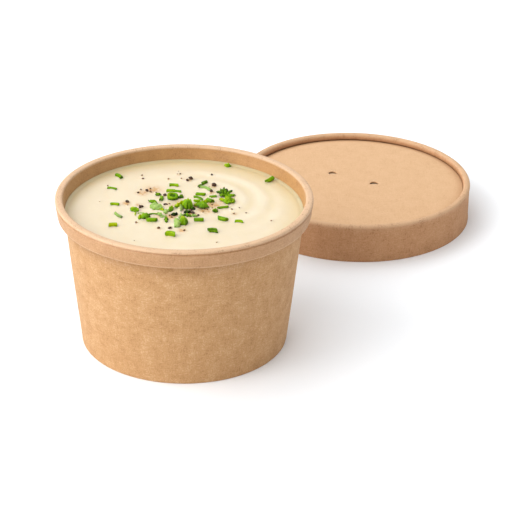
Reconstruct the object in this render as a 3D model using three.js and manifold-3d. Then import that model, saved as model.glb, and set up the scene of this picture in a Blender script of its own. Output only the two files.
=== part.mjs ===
// Takeaway soup container: a brown board cup filled with cream soup and garnish, its lid lying behind it.
// Millimetres, +Z up. The origin lies on the table, under the middle of the cup and the lid together.

import * as THREE from 'three';
import { mergeVertices } from 'three/addons/utils/BufferGeometryUtils.js';
import Module from 'manifold-3d';

const wasm = await Module();
wasm.setup();

// Cup
const RIM_RADIUS = 57.5;
const CUP_HEIGHT = 70;
const COLLAR_HEIGHT = 8.2;
const COLLAR_FOOT_RADIUS = 56.6;
const BEAD_WIDTH = 3.4;
const BODY_TOP_RADIUS = 53.6;
const BODY_FOOT_RADIUS = 46.9;
const WALL = 0.5;
const CURL_WALL = 0.9;
const CURL_SLOT = 0.4;
const FOOT_WIDTH = 1.3;
const FOOT_EDGE = 0.4;
const BASE_RECESS = 5;
const BASE_THICKNESS = 0.6;

// Lid
const LID_RADIUS = 59;
const LID_HEIGHT = 19.5;
const LID_SKIRT = 1;
const LID_EDGE = 0.4;
const LID_PANEL_DEPTH = 2.8;
const LID_PANEL_THICKNESS = 0.6;
const LID_LEDGE_REACH = 2.2;
const LID_LEDGE_THICKNESS = 0.7;
const VENT_RADIUS = 1.75;
const VENTS = [[-12, 11.5], [9.3, -0.5]];

// Soup
const SOUP_LEVEL = 63;
const SOUP_RINGS = 18;
const MENISCUS_RISE = 0.4;
const MENISCUS_WIDTH = 2.5;
const SWIRL_CENTRE = [8, 6];
const SWIRL_HEIGHT = 0.4;
const SWIRL_SPACING = 10.5;
const SWIRL_ARMS = 3;
const SWIRL_START = 23.5;
const SWIRL_BEARING = 20;
const SWIRL_FAR_SIDE = 0.3;
const SWIRL_RISES_FROM = [4, 18];
const SWIRL_FADES_FROM = [42, 51];

// Fits and rounding
const SEAT_GAP = 0.1;
const SIDE_GAP = 0.3;
const ROUND_SEGMENTS = 64;
const BEAD_STEPS = 3;
const VENT_SEGMENTS = 16;

// Places of the cup's and the lid's axes
const LID_FROM_CUP = [82.7, 134.3];
const CUP_AT = [0, 1].map((axis) => (RIM_RADIUS - LID_RADIUS - LID_FROM_CUP[axis]) / 2);
const LID_AT = [0, 1].map((axis) => CUP_AT[axis] + LID_FROM_CUP[axis]);

// Chive slices, measured from the cup's axis: x, y, turn in degrees, length, width
const CHIVES = [
  [-31.7, 34.6, -42, 5, 2], [-33.9, 21.7, -21, 4.4, 1.2], [-31.4, 4.1, -6, 3.8, 1.6],
  [-29, -6.6, -50, 5.4, 1.2], [-30.9, -17.2, 4, 3.4, 2.2], [-5, -25.8, -12, 4, 2.3],
  [13.3, -21.4, -2, 4.1, 2.3], [17.1, -9, -25, 4.6, 2], [24.4, -11.3, -5, 3.4, 1.6],
  [17.1, 3, 22, 5, 1.4], [13.7, -1.3, -15, 2.4, 2], [6.8, -10.7, 5, 4.1, 2],
  [18.2, 48, 10, 3, 1.8], [37, 33, 45, 5, 1.8], [-5.9, 25.9, -3, 4.2, 1.6],
  [-5.6, 19.6, -2, 6.5, 1.6], [-14, -11.6, 4, 4.5, 1.9], [6.8, 16.2, -5, 4.2, 1.6],
  [5.8, 12.4, -30, 4.5, 1.3], [5.4, 8.6, -8, 2.8, 1.6], [11.1, 8.3, 20, 2.8, 2],
  [12.5, 14.3, 8, 3.2, 1.4], [8.1, 29, 45, 4, 1.8], [8.6, 22.6, -44, 6, 1.5],
  [-13.8, -5.6, 5, 4, 1.2], [-11.6, 11, 78, 4.2, 1.6], [-12.4, 15.4, -20, 2.4, 1.5],
];
const CHIVE_SIDES = 8;
const CHIVE_SQUASH = 0.85;
const CHIVE_SINK = 0.35;

// The chive slice that stands on end as a ring
const CHIVE_RING = { at: [-5.7, 13.3], radius: 2.5, wall: 0.7, height: 2.6, lean: 14, sink: 0.9, sides: 12 };

// Leaf pieces: x, y, turn, length, width, roll in degrees
const LEAVES = [
  [-22, -1.6, -30, 4.6, 3, 12], [-17, -8.1, 60, 4.2, 3.2, -18], [-12.8, 3.4, -8, 6, 5.2, 12],
  [-7.7, -10.5, 100, 5, 2, 20], [-6.5, -0.9, 70, 5, 3.2, -22], [-3.9, 3.6, 20, 3.8, 3.4, 15],
  [0.9, 5.2, 82, 8, 4.4, -24], [-4.2, -5.8, 15, 3.2, 2.8, 18], [0.5, -10.6, 86, 6.4, 4.2, 20],
  [-2.9, -13, 96, 6.4, 3.2, -10], [7.9, 4.4, 96, 6, 4.4, 16], [1.4, -3.4, 40, 5, 3.6, -14],
  [19.6, 9.7, 75, 5.4, 4.6, 12],
];
const LEAF_THICKNESS = 0.6;
const LEAF_ROWS = 5;
const LEAF_COLUMNS = 2;
const LEAF_TIP = 0.3;
const LEAF_FULLNESS = 0.8;
const LEAF_WAVE = 0.3;
const LEAF_RIPPLES = 1.1;
const LEAF_SINK = 0.55;

// A sprig of parsley: leaflets that fan out from one point
const SPRIG = { at: [17.4, 14.2], leaflets: 5, length: 6, width: 2.6, from: 25, to: 150, roll: 12 };

// Grains of cracked pepper: x, y, diameter
const PEPPER = [
  [12.3, 27.3, 2], [1.3, 33.1, 1.7], [-0.2, 31.6, 1.1], [11.1, 38.5, 1], [-17.9, 20, 1.2],
  [-9.6, 15.5, 1.1], [-26.1, 7.1, 1.3], [-19.8, 2.1, 1.6], [-18.9, 2.8, 1.1], [-8.6, 5.2, 1.4],
  [-5.8, -18.8, 1.2], [3.6, -2.7, 1.3], [6.1, -5.9, 1], [2.6, 1.1, 1.4],
];
const PEPPER_SINK = 0.4;
const PEPPER_TURN = [40, 25];

// Materials
const KRAFT = new THREE.MeshStandardMaterial({ color: 0xc9966b, roughness: 0.85, metalness: 0 });
const KRAFT_LID = new THREE.MeshStandardMaterial({ color: 0xd8a578, roughness: 0.85, metalness: 0 });
const CREAM = new THREE.MeshStandardMaterial({ color: 0xf6e5c4, roughness: 0.35, metalness: 0 });

// Joins shared corners and drops the empty triangles that meet on an axis.
function weld(geometry) {
  geometry.deleteAttribute('normal');
  geometry.deleteAttribute('uv');
  const merged = mergeVertices(geometry);
  const kept = [];
  const index = merged.index.array;
  for (let i = 0; i < index.length; i += 3) {
    const [a, b, c] = [index[i], index[i + 1], index[i + 2]];
    if (a !== b && b !== c && c !== a) kept.push(a, b, c);
  }
  merged.setIndex(kept);
  return merged;
}

// Turns a profile of [radius, height] points about the Z axis.
function revolve(profile, segments = ROUND_SEGMENTS) {
  const points = profile.map(([radius, height]) => new THREE.Vector2(radius, height));
  return weld(new THREE.LatheGeometry(points, segments).rotateX(Math.PI / 2));
}

// A half-round bead seen in section, from its outer side over the top to its inner side.
function beadArc(outerRadius, width, top) {
  const half = width / 2;
  const arc = [];
  for (let step = 0; step <= 2 * BEAD_STEPS; step += 1) {
    const angle = (Math.PI * step) / (2 * BEAD_STEPS);
    arc.push([outerRadius - half + half * Math.cos(angle), top - half + half * Math.sin(angle)]);
  }
  return arc;
}

function toSolid(geometry) {
  return new wasm.Manifold(new wasm.Mesh({
    numProp: 3,
    vertProperties: new Float32Array(geometry.attributes.position.array),
    triVerts: new Uint32Array(geometry.index.array),
  }));
}

function toGeometry(solid) {
  const { vertProperties, triVerts } = solid.getMesh();
  const geometry = new THREE.BufferGeometry();
  geometry.setAttribute('position', new THREE.BufferAttribute(vertProperties, 3));
  geometry.setIndex(new THREE.BufferAttribute(triVerts, 1));
  return geometry;
}

function place(node, [x, y]) {
  node.position.set(x, y, 0);
  return node;
}

function piece(name, geometry, material) {
  geometry.computeVertexNormals();
  const mesh = new THREE.Mesh(geometry, material);
  mesh.name = name;
  return mesh;
}

// Radius of the cup's tapered outer face at a height
function bodyRadius(height) {
  const collarFoot = CUP_HEIGHT - COLLAR_HEIGHT;
  return BODY_FOOT_RADIUS + ((BODY_TOP_RADIUS - BODY_FOOT_RADIUS) * height) / collarFoot;
}

// The wall of board, its foot folded inwards below the base, and its rim curled outwards and down as a collar
function cupWall() {
  const collarFoot = CUP_HEIGHT - COLLAR_HEIGHT;
  const beadFoot = CUP_HEIGHT - BEAD_WIDTH / 2;
  const beadInside = RIM_RADIUS - BEAD_WIDTH;
  const footInside = BODY_FOOT_RADIUS - FOOT_WIDTH;
  const bodyAtCurl = bodyRadius(collarFoot + CURL_WALL);
  return revolve([
    [footInside, 0],
    [BODY_FOOT_RADIUS - FOOT_EDGE, 0],
    [bodyRadius(FOOT_EDGE), FOOT_EDGE],
    [BODY_TOP_RADIUS, collarFoot],
    [bodyAtCurl, collarFoot + CURL_WALL],
    [beadInside + WALL, beadFoot - CURL_WALL],
    [RIM_RADIUS - CURL_WALL, beadFoot - CURL_WALL],
    [COLLAR_FOOT_RADIUS - CURL_WALL, collarFoot + CURL_WALL],
    [bodyAtCurl + CURL_SLOT, collarFoot + CURL_WALL],
    [BODY_TOP_RADIUS + CURL_SLOT, collarFoot],
    [COLLAR_FOOT_RADIUS - FOOT_EDGE, collarFoot],
    [COLLAR_FOOT_RADIUS, collarFoot + FOOT_EDGE],
    ...beadArc(RIM_RADIUS, BEAD_WIDTH, CUP_HEIGHT),
    [bodyRadius(SOUP_LEVEL) - WALL, SOUP_LEVEL],
    [bodyRadius(BASE_RECESS) - WALL, BASE_RECESS],
    [footInside, BASE_RECESS],
    [footInside, 0],
  ]);
}

// The base is a disc that lies on the folded foot, above the table.
function cupBase() {
  const bottom = BASE_RECESS + SEAT_GAP;
  const radius = bodyRadius(BASE_RECESS) - WALL - SIDE_GAP;
  return revolve([
    [0, bottom],
    [radius, bottom],
    [radius, bottom + BASE_THICKNESS],
    [0, bottom + BASE_THICKNESS],
  ]);
}

// Height of the stirred swirl over the soup's level.
// Its arms wind out from near the garnish, and fade towards the left.
function swirl(x, y) {
  const [dx, dy] = [x - SWIRL_CENTRE[0], y - SWIRL_CENTRE[1]];
  const reach = Math.hypot(dx, dy);
  const bearing = Math.atan2(dy, dx);
  const toSide = bearing - THREE.MathUtils.degToRad(SWIRL_BEARING);
  const phase = (2 * Math.PI * (reach - SWIRL_START)) / SWIRL_SPACING - SWIRL_ARMS * bearing;
  const sideways = THREE.MathUtils.lerp(SWIRL_FAR_SIDE, 1, Math.cos(toSide / 2) ** 2);
  const middle = THREE.MathUtils.smoothstep(reach, ...SWIRL_RISES_FROM);
  const edge = 1 - THREE.MathUtils.smoothstep(Math.hypot(x, y), ...SWIRL_FADES_FROM);
  return -SWIRL_HEIGHT * Math.cos(phase) * sideways * middle * edge;
}

function soupHeight(x, y) {
  return SOUP_LEVEL + swirl(x, y);
}

// The soup fills the cup from the base to its level, and its edge climbs the wall a little.
function soupBody() {
  const bottom = BASE_RECESS + BASE_THICKNESS + 2 * SEAT_GAP;
  const inside = (height) => bodyRadius(height) - WALL - SIDE_GAP;
  const profile = [[0, bottom], [inside(bottom), bottom], [inside(SOUP_LEVEL), SOUP_LEVEL + MENISCUS_RISE]];
  const flat = inside(SOUP_LEVEL) - MENISCUS_WIDTH;
  for (let ring = SOUP_RINGS; ring >= 0; ring -= 1) {
    profile.push([(flat * ring) / SOUP_RINGS, SOUP_LEVEL]);
  }
  const geometry = revolve(profile);
  const position = geometry.attributes.position;
  for (let i = 0; i < position.count; i += 1) {
    const onTop = Math.abs(position.getZ(i) - SOUP_LEVEL) < SEAT_GAP;
    if (onTop) position.setZ(i, soupHeight(position.getX(i), position.getY(i)));
  }
  return toSolid(geometry);
}

// Lays a shape, made along +X about the origin, so that its lowest point is sunk in the soup.
function lay(geometry, [x, y], turn, roll, sink) {
  geometry.rotateX(THREE.MathUtils.degToRad(roll));
  geometry.rotateZ(THREE.MathUtils.degToRad(turn));
  geometry.computeBoundingBox();
  geometry.translate(x, y, soupHeight(x, y) - sink - geometry.boundingBox.min.z);
  return toSolid(weld(geometry));
}

function chive([x, y, turn, length, width]) {
  const slice = new THREE.CylinderGeometry(width / 2, width / 2, length, CHIVE_SIDES);
  slice.rotateZ(Math.PI / 2).scale(1, 1, CHIVE_SQUASH);
  return lay(slice, [x, y], turn, 0, width * CHIVE_SINK);
}

function chiveRing({ at, radius, wall, height, lean, sink, sides }) {
  const section = [[radius - wall, 0], [radius, 0], [radius, height], [radius - wall, height]];
  return lay(revolve([...section, section[0]], sides), at, 0, lean, sink);
}

// A thin wavy leaf along +X: both faces carry the same triangles, with a narrow band round the edge.
function leafGeometry(length, width) {
  const corners = [];
  const faces = [];
  const across = LEAF_COLUMNS + 1;
  const layer = (LEAF_ROWS + 1) * across;
  for (const side of [-0.5, 0.5]) {
    for (let row = 0; row <= LEAF_ROWS; row += 1) {
      const along = row / LEAF_ROWS;
      const swell = Math.sin(Math.PI * along ** LEAF_FULLNESS);
      const half = (width / 2) * THREE.MathUtils.lerp(LEAF_TIP, 1, swell);
      for (let column = 0; column < across; column += 1) {
        const over = (2 * column) / LEAF_COLUMNS - 1;
        const ripple = Math.sin(2 * Math.PI * LEAF_RIPPLES * along) * over;
        const wave = LEAF_WAVE * (ripple - Math.cos(Math.PI * over));
        corners.push((along - 0.5) * length, over * half, wave + side * LEAF_THICKNESS);
      }
    }
  }
  const quad = (a, b, c, d) => faces.push(a, b, c, a, c, d);
  const at = (row, column, top) => row * across + column + (top ? layer : 0);
  for (let row = 0; row < LEAF_ROWS; row += 1) {
    for (let column = 0; column < LEAF_COLUMNS; column += 1) {
      const [a, b] = [at(row, column, true), at(row + 1, column, true)];
      faces.push(a, b, b + 1, a, b + 1, a + 1);
      faces.push(a - layer, b + 1 - layer, b - layer, a - layer, a + 1 - layer, b + 1 - layer);
    }
    const last = LEAF_COLUMNS;
    quad(at(row, 0, false), at(row + 1, 0, false), at(row + 1, 0, true), at(row, 0, true));
    quad(at(row + 1, last, false), at(row, last, false), at(row, last, true), at(row + 1, last, true));
  }
  for (let left = 0; left < LEAF_COLUMNS; left += 1) {
    const right = left + 1;
    const last = LEAF_ROWS;
    quad(at(0, right, false), at(0, left, false), at(0, left, true), at(0, right, true));
    quad(at(last, left, false), at(last, right, false), at(last, right, true), at(last, left, true));
  }
  const geometry = new THREE.BufferGeometry();
  geometry.setAttribute('position', new THREE.Float32BufferAttribute(corners, 3));
  geometry.setIndex(faces);
  return geometry;
}

function leaf([x, y, turn, length, width, roll]) {
  return lay(leafGeometry(length, width), [x, y], turn, roll, LEAF_SINK);
}

function sprig({ at, leaflets, length, width, from, to, roll }) {
  const solids = [];
  for (let i = 0; i < leaflets; i += 1) {
    const turn = THREE.MathUtils.lerp(from, to, i / (leaflets - 1));
    const bearing = THREE.MathUtils.degToRad(turn);
    const middle = [at[0] + (length / 2) * Math.cos(bearing), at[1] + (length / 2) * Math.sin(bearing)];
    solids.push(leaf([...middle, turn, length, width, i % 2 ? roll : -roll]));
  }
  return solids;
}

// Each grain is turned by its place, so that no two lie alike.
function pepper([x, y, diameter]) {
  const grain = new THREE.IcosahedronGeometry(diameter / 2, 0);
  return lay(grain, [x, y], PEPPER_TURN[0] * x, PEPPER_TURN[1] * y, diameter * PEPPER_SINK);
}

// The garnish lies part sunk in the soup and is fused to it.
function soup() {
  const garnish = [
    ...CHIVES.map(chive),
    chiveRing(CHIVE_RING),
    ...LEAVES.map(leaf),
    ...sprig(SPRIG),
    ...PEPPER.map(pepper),
  ];
  return toGeometry(garnish.reduce((whole, part) => whole.add(part), soupBody()));
}

// The lid's skirt, the bead that its folded board makes on top, and the ledge below the panel
function lidRing() {
  const inside = LID_RADIUS - LID_SKIRT;
  const beadInside = LID_RADIUS - BEAD_WIDTH;
  const ledgeTop = LID_HEIGHT - LID_PANEL_DEPTH - LID_PANEL_THICKNESS - SEAT_GAP;
  const ledgeInside = beadInside - LID_LEDGE_REACH;
  return revolve([
    [inside, 0],
    [LID_RADIUS - LID_EDGE, 0],
    [LID_RADIUS, LID_EDGE],
    ...beadArc(LID_RADIUS, BEAD_WIDTH, LID_HEIGHT),
    [beadInside, ledgeTop],
    [ledgeInside, ledgeTop],
    [ledgeInside, ledgeTop - LID_LEDGE_THICKNESS],
    [inside, ledgeTop - LID_LEDGE_THICKNESS],
    [inside, 0],
  ]);
}

// The lid's round panel lies on the ledge and has two small vent holes.
function lidPanel() {
  const radius = LID_RADIUS - BEAD_WIDTH - SIDE_GAP;
  const top = LID_HEIGHT - LID_PANEL_DEPTH;
  const bottom = top - LID_PANEL_THICKNESS;
  let panel = toSolid(revolve([[0, bottom], [radius, bottom], [radius, top], [0, top]]));
  for (const [x, y] of VENTS) {
    const depth = 4 * LID_PANEL_THICKNESS;
    const drill = new THREE.CylinderGeometry(VENT_RADIUS, VENT_RADIUS, depth, VENT_SEGMENTS);
    drill.rotateX(Math.PI / 2).translate(x, y, (top + bottom) / 2);
    panel = panel.subtract(toSolid(weld(drill)));
  }
  return toGeometry(panel);
}

const cup = new THREE.Group();
cup.add(piece('cup_wall', cupWall(), KRAFT));
cup.add(piece('cup_base', cupBase(), KRAFT));
cup.add(piece('soup', soup(), CREAM));

const lid = new THREE.Group();
lid.add(piece('lid_ring', lidRing(), KRAFT_LID));
lid.add(piece('lid_panel', lidPanel(), KRAFT_LID));

const container = new THREE.Group();
container.add(place(cup, CUP_AT), place(lid, LID_AT));

export default container;
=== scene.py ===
"""Dresses the takeaway soup container: a brown board cup of cream soup with herbs and pepper, and its lid."""

import logging
import math
import random
from dataclasses import dataclass, field
from enum import Enum
from typing import Callable, Mapping, Sequence

import bmesh
import bpy
import numpy as np
from mathutils import Matrix, Vector, noise
from mathutils.geometry import delaunay_2d_cdt

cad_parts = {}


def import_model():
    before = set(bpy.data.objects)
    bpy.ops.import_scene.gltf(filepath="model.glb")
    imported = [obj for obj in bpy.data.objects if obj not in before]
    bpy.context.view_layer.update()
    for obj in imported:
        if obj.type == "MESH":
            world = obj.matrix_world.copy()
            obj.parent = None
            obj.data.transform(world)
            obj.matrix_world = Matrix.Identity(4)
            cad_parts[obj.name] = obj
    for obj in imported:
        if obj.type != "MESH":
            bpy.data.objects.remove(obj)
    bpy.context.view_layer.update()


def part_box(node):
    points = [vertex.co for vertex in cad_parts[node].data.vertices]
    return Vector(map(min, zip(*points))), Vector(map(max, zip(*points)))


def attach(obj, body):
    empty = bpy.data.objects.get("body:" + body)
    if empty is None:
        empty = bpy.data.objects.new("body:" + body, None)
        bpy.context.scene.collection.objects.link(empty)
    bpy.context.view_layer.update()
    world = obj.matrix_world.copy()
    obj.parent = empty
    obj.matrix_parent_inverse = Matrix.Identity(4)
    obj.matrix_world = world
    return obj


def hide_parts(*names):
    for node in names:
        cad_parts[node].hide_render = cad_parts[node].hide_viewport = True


LOG = logging.getLogger("soup_container")
MM = 0.001
BODY = "root"
BOARD_MAP = "board"
ON_AXIS = 1e-6

Profile = list[tuple[float, float]]
Colour = tuple[float, float, float, float]


def srgb(red: int, green: int, blue: int) -> Colour:
    """Turns an 8-bit screen colour into the linear colour that a shader takes.

    Args:
        red, green, blue: the channels, 0 to 255.

    Returns:
        The linear colour with full opacity.
    """
    def linear(channel: int) -> float:
        """Gives one channel's linear value."""
        share = channel / 255
        return share / 12.92 if share <= 0.04045 else ((share + 0.055) / 1.055) ** 2.4

    return linear(red), linear(green), linear(blue), 1.0


def smoothstep(values: np.ndarray, low: float, high: float) -> np.ndarray:
    """Rises smoothly from 0 at low to 1 at high.

    Args:
        values: the numbers to map.
        low: where the rise begins.
        high: where it ends.

    Returns:
        An array of shares from 0 to 1.
    """
    share = np.clip((np.asarray(values, float) - low) / (high - low), 0, 1)
    return share * share * (3 - 2 * share)


def arc(centre: tuple[float, float], radius: float, start: float, end: float, steps: int) -> Profile:
    """Lays points along an arc of a section.

    Args:
        centre: radius and height of the arc's centre.
        radius: the arc's own radius.
        start, end: angles in degrees, 0 outwards and 90 up.
        steps: how many spans the arc has.

    Returns:
        The points from start to end.
    """
    angles = [math.radians(start + (end - start) * step / steps) for step in range(steps + 1)]
    return [(centre[0] + radius * math.cos(a), centre[1] + radius * math.sin(a)) for a in angles]


def shoulder(centre: tuple[float, float], half: float, height: float, flatness: float, steps: int) -> Profile:
    """Lays points over a rolled edge, flatter on top than a half circle.

    Args:
        centre: radius and height of the middle of its foot.
        half: half its width.
        height: how far its top stands over its foot.
        flatness: 1 for a half circle, less for a flatter top with tighter corners.
        steps: how many spans it has.

    Returns:
        The points from the outside over the top to the inside.
    """
    turns = [math.pi * step / steps for step in range(steps + 1)]
    return [
        (
            centre[0] + half * math.copysign(abs(math.cos(turn)) ** flatness, math.cos(turn)),
            centre[1] + height * abs(math.sin(turn)) ** flatness,
        )
        for turn in turns
    ]


def straight(start: tuple[float, float], end: tuple[float, float], steps: int) -> Profile:
    """Lays evenly spaced points along a straight stretch of a section.

    Args:
        start, end: its two ends.
        steps: how many spans it has.

    Returns:
        The points from start to end.
    """
    shares = [step / steps for step in range(steps + 1)]
    return [(start[0] + (end[0] - start[0]) * t, start[1] + (end[1] - start[1]) * t) for t in shares]


@dataclass
class Surface:
    """A mesh in the making, in millimetres.

    Attributes:
        corners: one row of x, y, z for each corner.
        faces: corner numbers of each face, anticlockwise from outside.
        finishes: which of its object's materials each face takes.
        board: a flat place on the board for each face corner, in the faces' order, or nothing.
        values: named numbers for each corner, which the materials read.
    """

    corners: np.ndarray
    faces: list[tuple[int, ...]]
    finishes: list[int] = field(default_factory=list)
    board: list[tuple[float, float]] = field(default_factory=list)
    values: dict[str, np.ndarray] = field(default_factory=dict)

    def value(self, name: str, numbers: np.ndarray | float) -> "Surface":
        """Names a number for every corner and returns the surface."""
        self.values[name] = np.broadcast_to(np.asarray(numbers, float), (len(self.corners),)).copy()
        return self

    def moved(self, place: Sequence[float], turn: Matrix | None = None) -> "Surface":
        """Turns the corners about the origin, then shifts them.

        Args:
            place: where the origin goes.
            turn: a 3 by 3 rotation, or nothing.

        Returns:
            The same surface.
        """
        if turn is not None:
            self.corners = self.corners @ np.array(turn).T
        self.corners = self.corners + np.array(place, float)
        return self

    def to_object(
        self, name: str, finishes: Sequence[bpy.types.Material], crease: float = 40
    ) -> bpy.types.Object:
        """Makes the Blender object, in metres.

        Args:
            name: the object's name.
            finishes: its materials, in the order that the faces count them.
            crease: the angle in degrees past which an edge stays sharp.

        Returns:
            The new object, linked to the scene.
        """
        mesh = bpy.data.meshes.new(name)
        mesh.from_pydata(self.corners * MM, [], self.faces)
        for finish in finishes:
            mesh.materials.append(finish)
        if self.finishes:
            mesh.polygons.foreach_set("material_index", self.finishes)
        mesh.polygons.foreach_set("use_smooth", [True] * len(mesh.polygons))
        mesh.set_sharp_from_angle(angle=math.radians(crease))
        if self.board:
            layer = mesh.uv_layers.new(name=BOARD_MAP)
            layer.uv.foreach_set("vector", np.array(self.board, np.float32).ravel())
        for label, numbers in self.values.items():
            attribute = mesh.attributes.new(label, "FLOAT", "POINT")
            attribute.data.foreach_set("value", numbers.astype(np.float32))
        mesh.validate()
        mesh.update()
        made = bpy.data.objects.new(name, mesh)
        bpy.context.scene.collection.objects.link(made)
        return made


def joined(surfaces: Sequence[Surface]) -> Surface:
    """Puts several surfaces with the same named values into one.

    Args:
        surfaces: the surfaces, which stay as they are.

    Returns:
        One surface that holds them all.
    """
    corners, faces, finishes, board = [], [], [], []
    for surface in surfaces:
        first = sum(len(part) for part in corners)
        corners.append(surface.corners)
        faces += [tuple(first + corner for corner in face) for face in surface.faces]
        finishes += surface.finishes or [0] * len(surface.faces)
        board += surface.board
    values = {name: np.concatenate([s.values[name] for s in surfaces]) for name in surfaces[0].values}
    return Surface(np.concatenate(corners), faces, finishes, board, values)


def revolve(
    profile: Profile,
    segments: int,
    radius_at: Callable[[np.ndarray, float, float], np.ndarray] | None = None,
    closed: bool = True,
) -> Surface:
    """Turns a section about the Z axis, with the board's own coordinates running round and along it.

    Args:
        profile: radius and height of its points, anticlockwise; a radius of 0 makes a pole.
        segments: how many faces go round.
        radius_at: gives a ring's radii from its angles, radius and height, where the form isn't quite round.
        closed: whether the last point joins the first.

    Returns:
        The closed surface.
    """
    angles = np.arange(segments) * 2 * math.pi / segments
    corners, rings = [], []
    for radius, height in profile:
        start = sum(len(part) for part in corners)
        if radius < ON_AXIS:
            corners.append(np.array([[0.0, 0.0, height]]))
            rings.append([start] * segments)
            continue
        radii = radius_at(angles, radius, height) if radius_at else np.full(segments, radius)
        level = np.full(segments, height)
        corners.append(np.stack([radii * np.cos(angles), radii * np.sin(angles), level], 1))
        rings.append([start + i for i in range(segments)])
    around = 2 * math.pi * max(radius for radius, _ in profile) / segments
    faces, board, along = [], [], 0.0
    for low in range(len(profile) if closed else len(profile) - 1):
        high = (low + 1) % len(profile)
        step = math.dist(profile[low], profile[high])
        for i in range(segments):
            j = (i + 1) % segments
            loop = [
                (rings[low][i], (i * around, along)),
                (rings[low][j], ((i + 1) * around, along)),
                (rings[high][j], ((i + 1) * around, along + step)),
                (rings[high][i], (i * around, along + step)),
            ]
            kept = [entry for k, entry in enumerate(loop) if entry[0] != loop[k - 1][0]]
            if len(kept) > 2:
                faces.append(tuple(entry[0] for entry in kept))
                board += [entry[1] for entry in kept]
        along += step
    return Surface(np.concatenate(corners), faces, board=board)


class NodeSheet:
    """Adds nodes to a shader tree and links them."""

    def __init__(self, tree: bpy.types.NodeTree) -> None:
        """Keeps the tree to add to."""
        self.tree = tree

    def add(self, kind: str, inputs: Mapping | None = None, **settings: object) -> bpy.types.Node:
        """Adds one node.

        Args:
            kind: the node's Blender type.
            inputs: a value or another node's socket for each named or numbered input.
            **settings: the node's own properties.

        Returns:
            The node.
        """
        node = self.tree.nodes.new(kind)
        for name, value in settings.items():
            setattr(node, name, value)
        self.feed(node, inputs or {})
        return node

    def feed(self, node: bpy.types.Node, inputs: Mapping) -> None:
        """Gives a node's inputs their values and links.

        Args:
            node: the node.
            inputs: a value or another node's socket for each named or numbered input.
        """
        for key, value in inputs.items():
            if isinstance(value, bpy.types.NodeSocket):
                self.tree.links.new(value, node.inputs[key])
            else:
                node.inputs[key].default_value = value

    def math(self, operation: str, *numbers: object) -> bpy.types.NodeSocket:
        """Adds a Math node over numbers or sockets and returns its result."""
        return self.add("ShaderNodeMath", dict(enumerate(numbers)), operation=operation).outputs[0]

    def stretch(self, place: bpy.types.NodeSocket, scale: Sequence[float]) -> bpy.types.NodeSocket:
        """Scales a place along each axis and returns it."""
        node = self.add("ShaderNodeVectorMath", {0: place, 1: tuple(scale)}, operation="MULTIPLY")
        return node.outputs[0]

    def noise(self, place: bpy.types.NodeSocket, scale: float, detail: float = 3) -> bpy.types.NodeSocket:
        """Adds a Noise Texture and returns its value."""
        node = self.add("ShaderNodeTexNoise", {"Vector": place, "Scale": scale, "Detail": detail})
        return node.outputs["Fac"]

    def span(
        self, value: bpy.types.NodeSocket, low: float, high: float, to_low: float = 0, to_high: float = 1
    ) -> bpy.types.NodeSocket:
        """Maps a stretch of values smoothly to another, held at both ends.

        Args:
            value: the socket to map.
            low, high: the stretch that is mapped.
            to_low, to_high: what its ends become.

        Returns:
            The mapped value.
        """
        inputs = {"Value": value, "From Min": low, "From Max": high, "To Min": to_low, "To Max": to_high}
        return self.add("ShaderNodeMapRange", inputs, interpolation_type="SMOOTHSTEP").outputs["Result"]

    def swing(
        self, place: bpy.types.NodeSocket, scale: float, detail: float = 3, reach: float = 1.0
    ) -> bpy.types.NodeSocket:
        """Adds a noise that swings evenly to both sides of 0.

        Args:
            place: where it is read.
            scale, detail: the noise's own settings.
            reach: how far it swings.

        Returns:
            Its value, from -reach to reach.
        """
        return self.span(self.noise(place, scale, detail), 0.3, 0.7, -reach, reach)

    def mix(self, share: object, first: object, second: object) -> bpy.types.NodeSocket:
        """Mixes two colours.

        Args:
            share: how much of the second shows.
            first, second: the colours or sockets.

        Returns:
            The mixed colour.
        """
        return self.add("ShaderNodeMix", {0: share, 6: first, 7: second}, data_type="RGBA").outputs[2]

    def attribute(self, name: str) -> bpy.types.NodeSocket:
        """Reads one of the mesh's named values."""
        return self.add("ShaderNodeAttribute", attribute_name=name).outputs["Fac"]

    def bump(self, height: bpy.types.NodeSocket, depth: float, strength: float) -> bpy.types.NodeSocket:
        """Turns a height into a normal.

        Args:
            height: the socket that holds it.
            depth: what a height of 1 measures, in millimetres.
            strength: how much of the effect shows.

        Returns:
            The normal.
        """
        inputs = {"Height": height, "Distance": depth * MM, "Strength": strength}
        return self.add("ShaderNodeBump", inputs).outputs[0]


def new_finish(name: str) -> tuple[bpy.types.Material, NodeSheet, bpy.types.Node]:
    """Starts a material.

    Args:
        name: the material's name.

    Returns:
        The material, a sheet for its nodes, and its shader.
    """
    made = bpy.data.materials.new(name)
    made.use_nodes = True
    return made, NodeSheet(made.node_tree), made.node_tree.nodes["Principled BSDF"]


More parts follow.
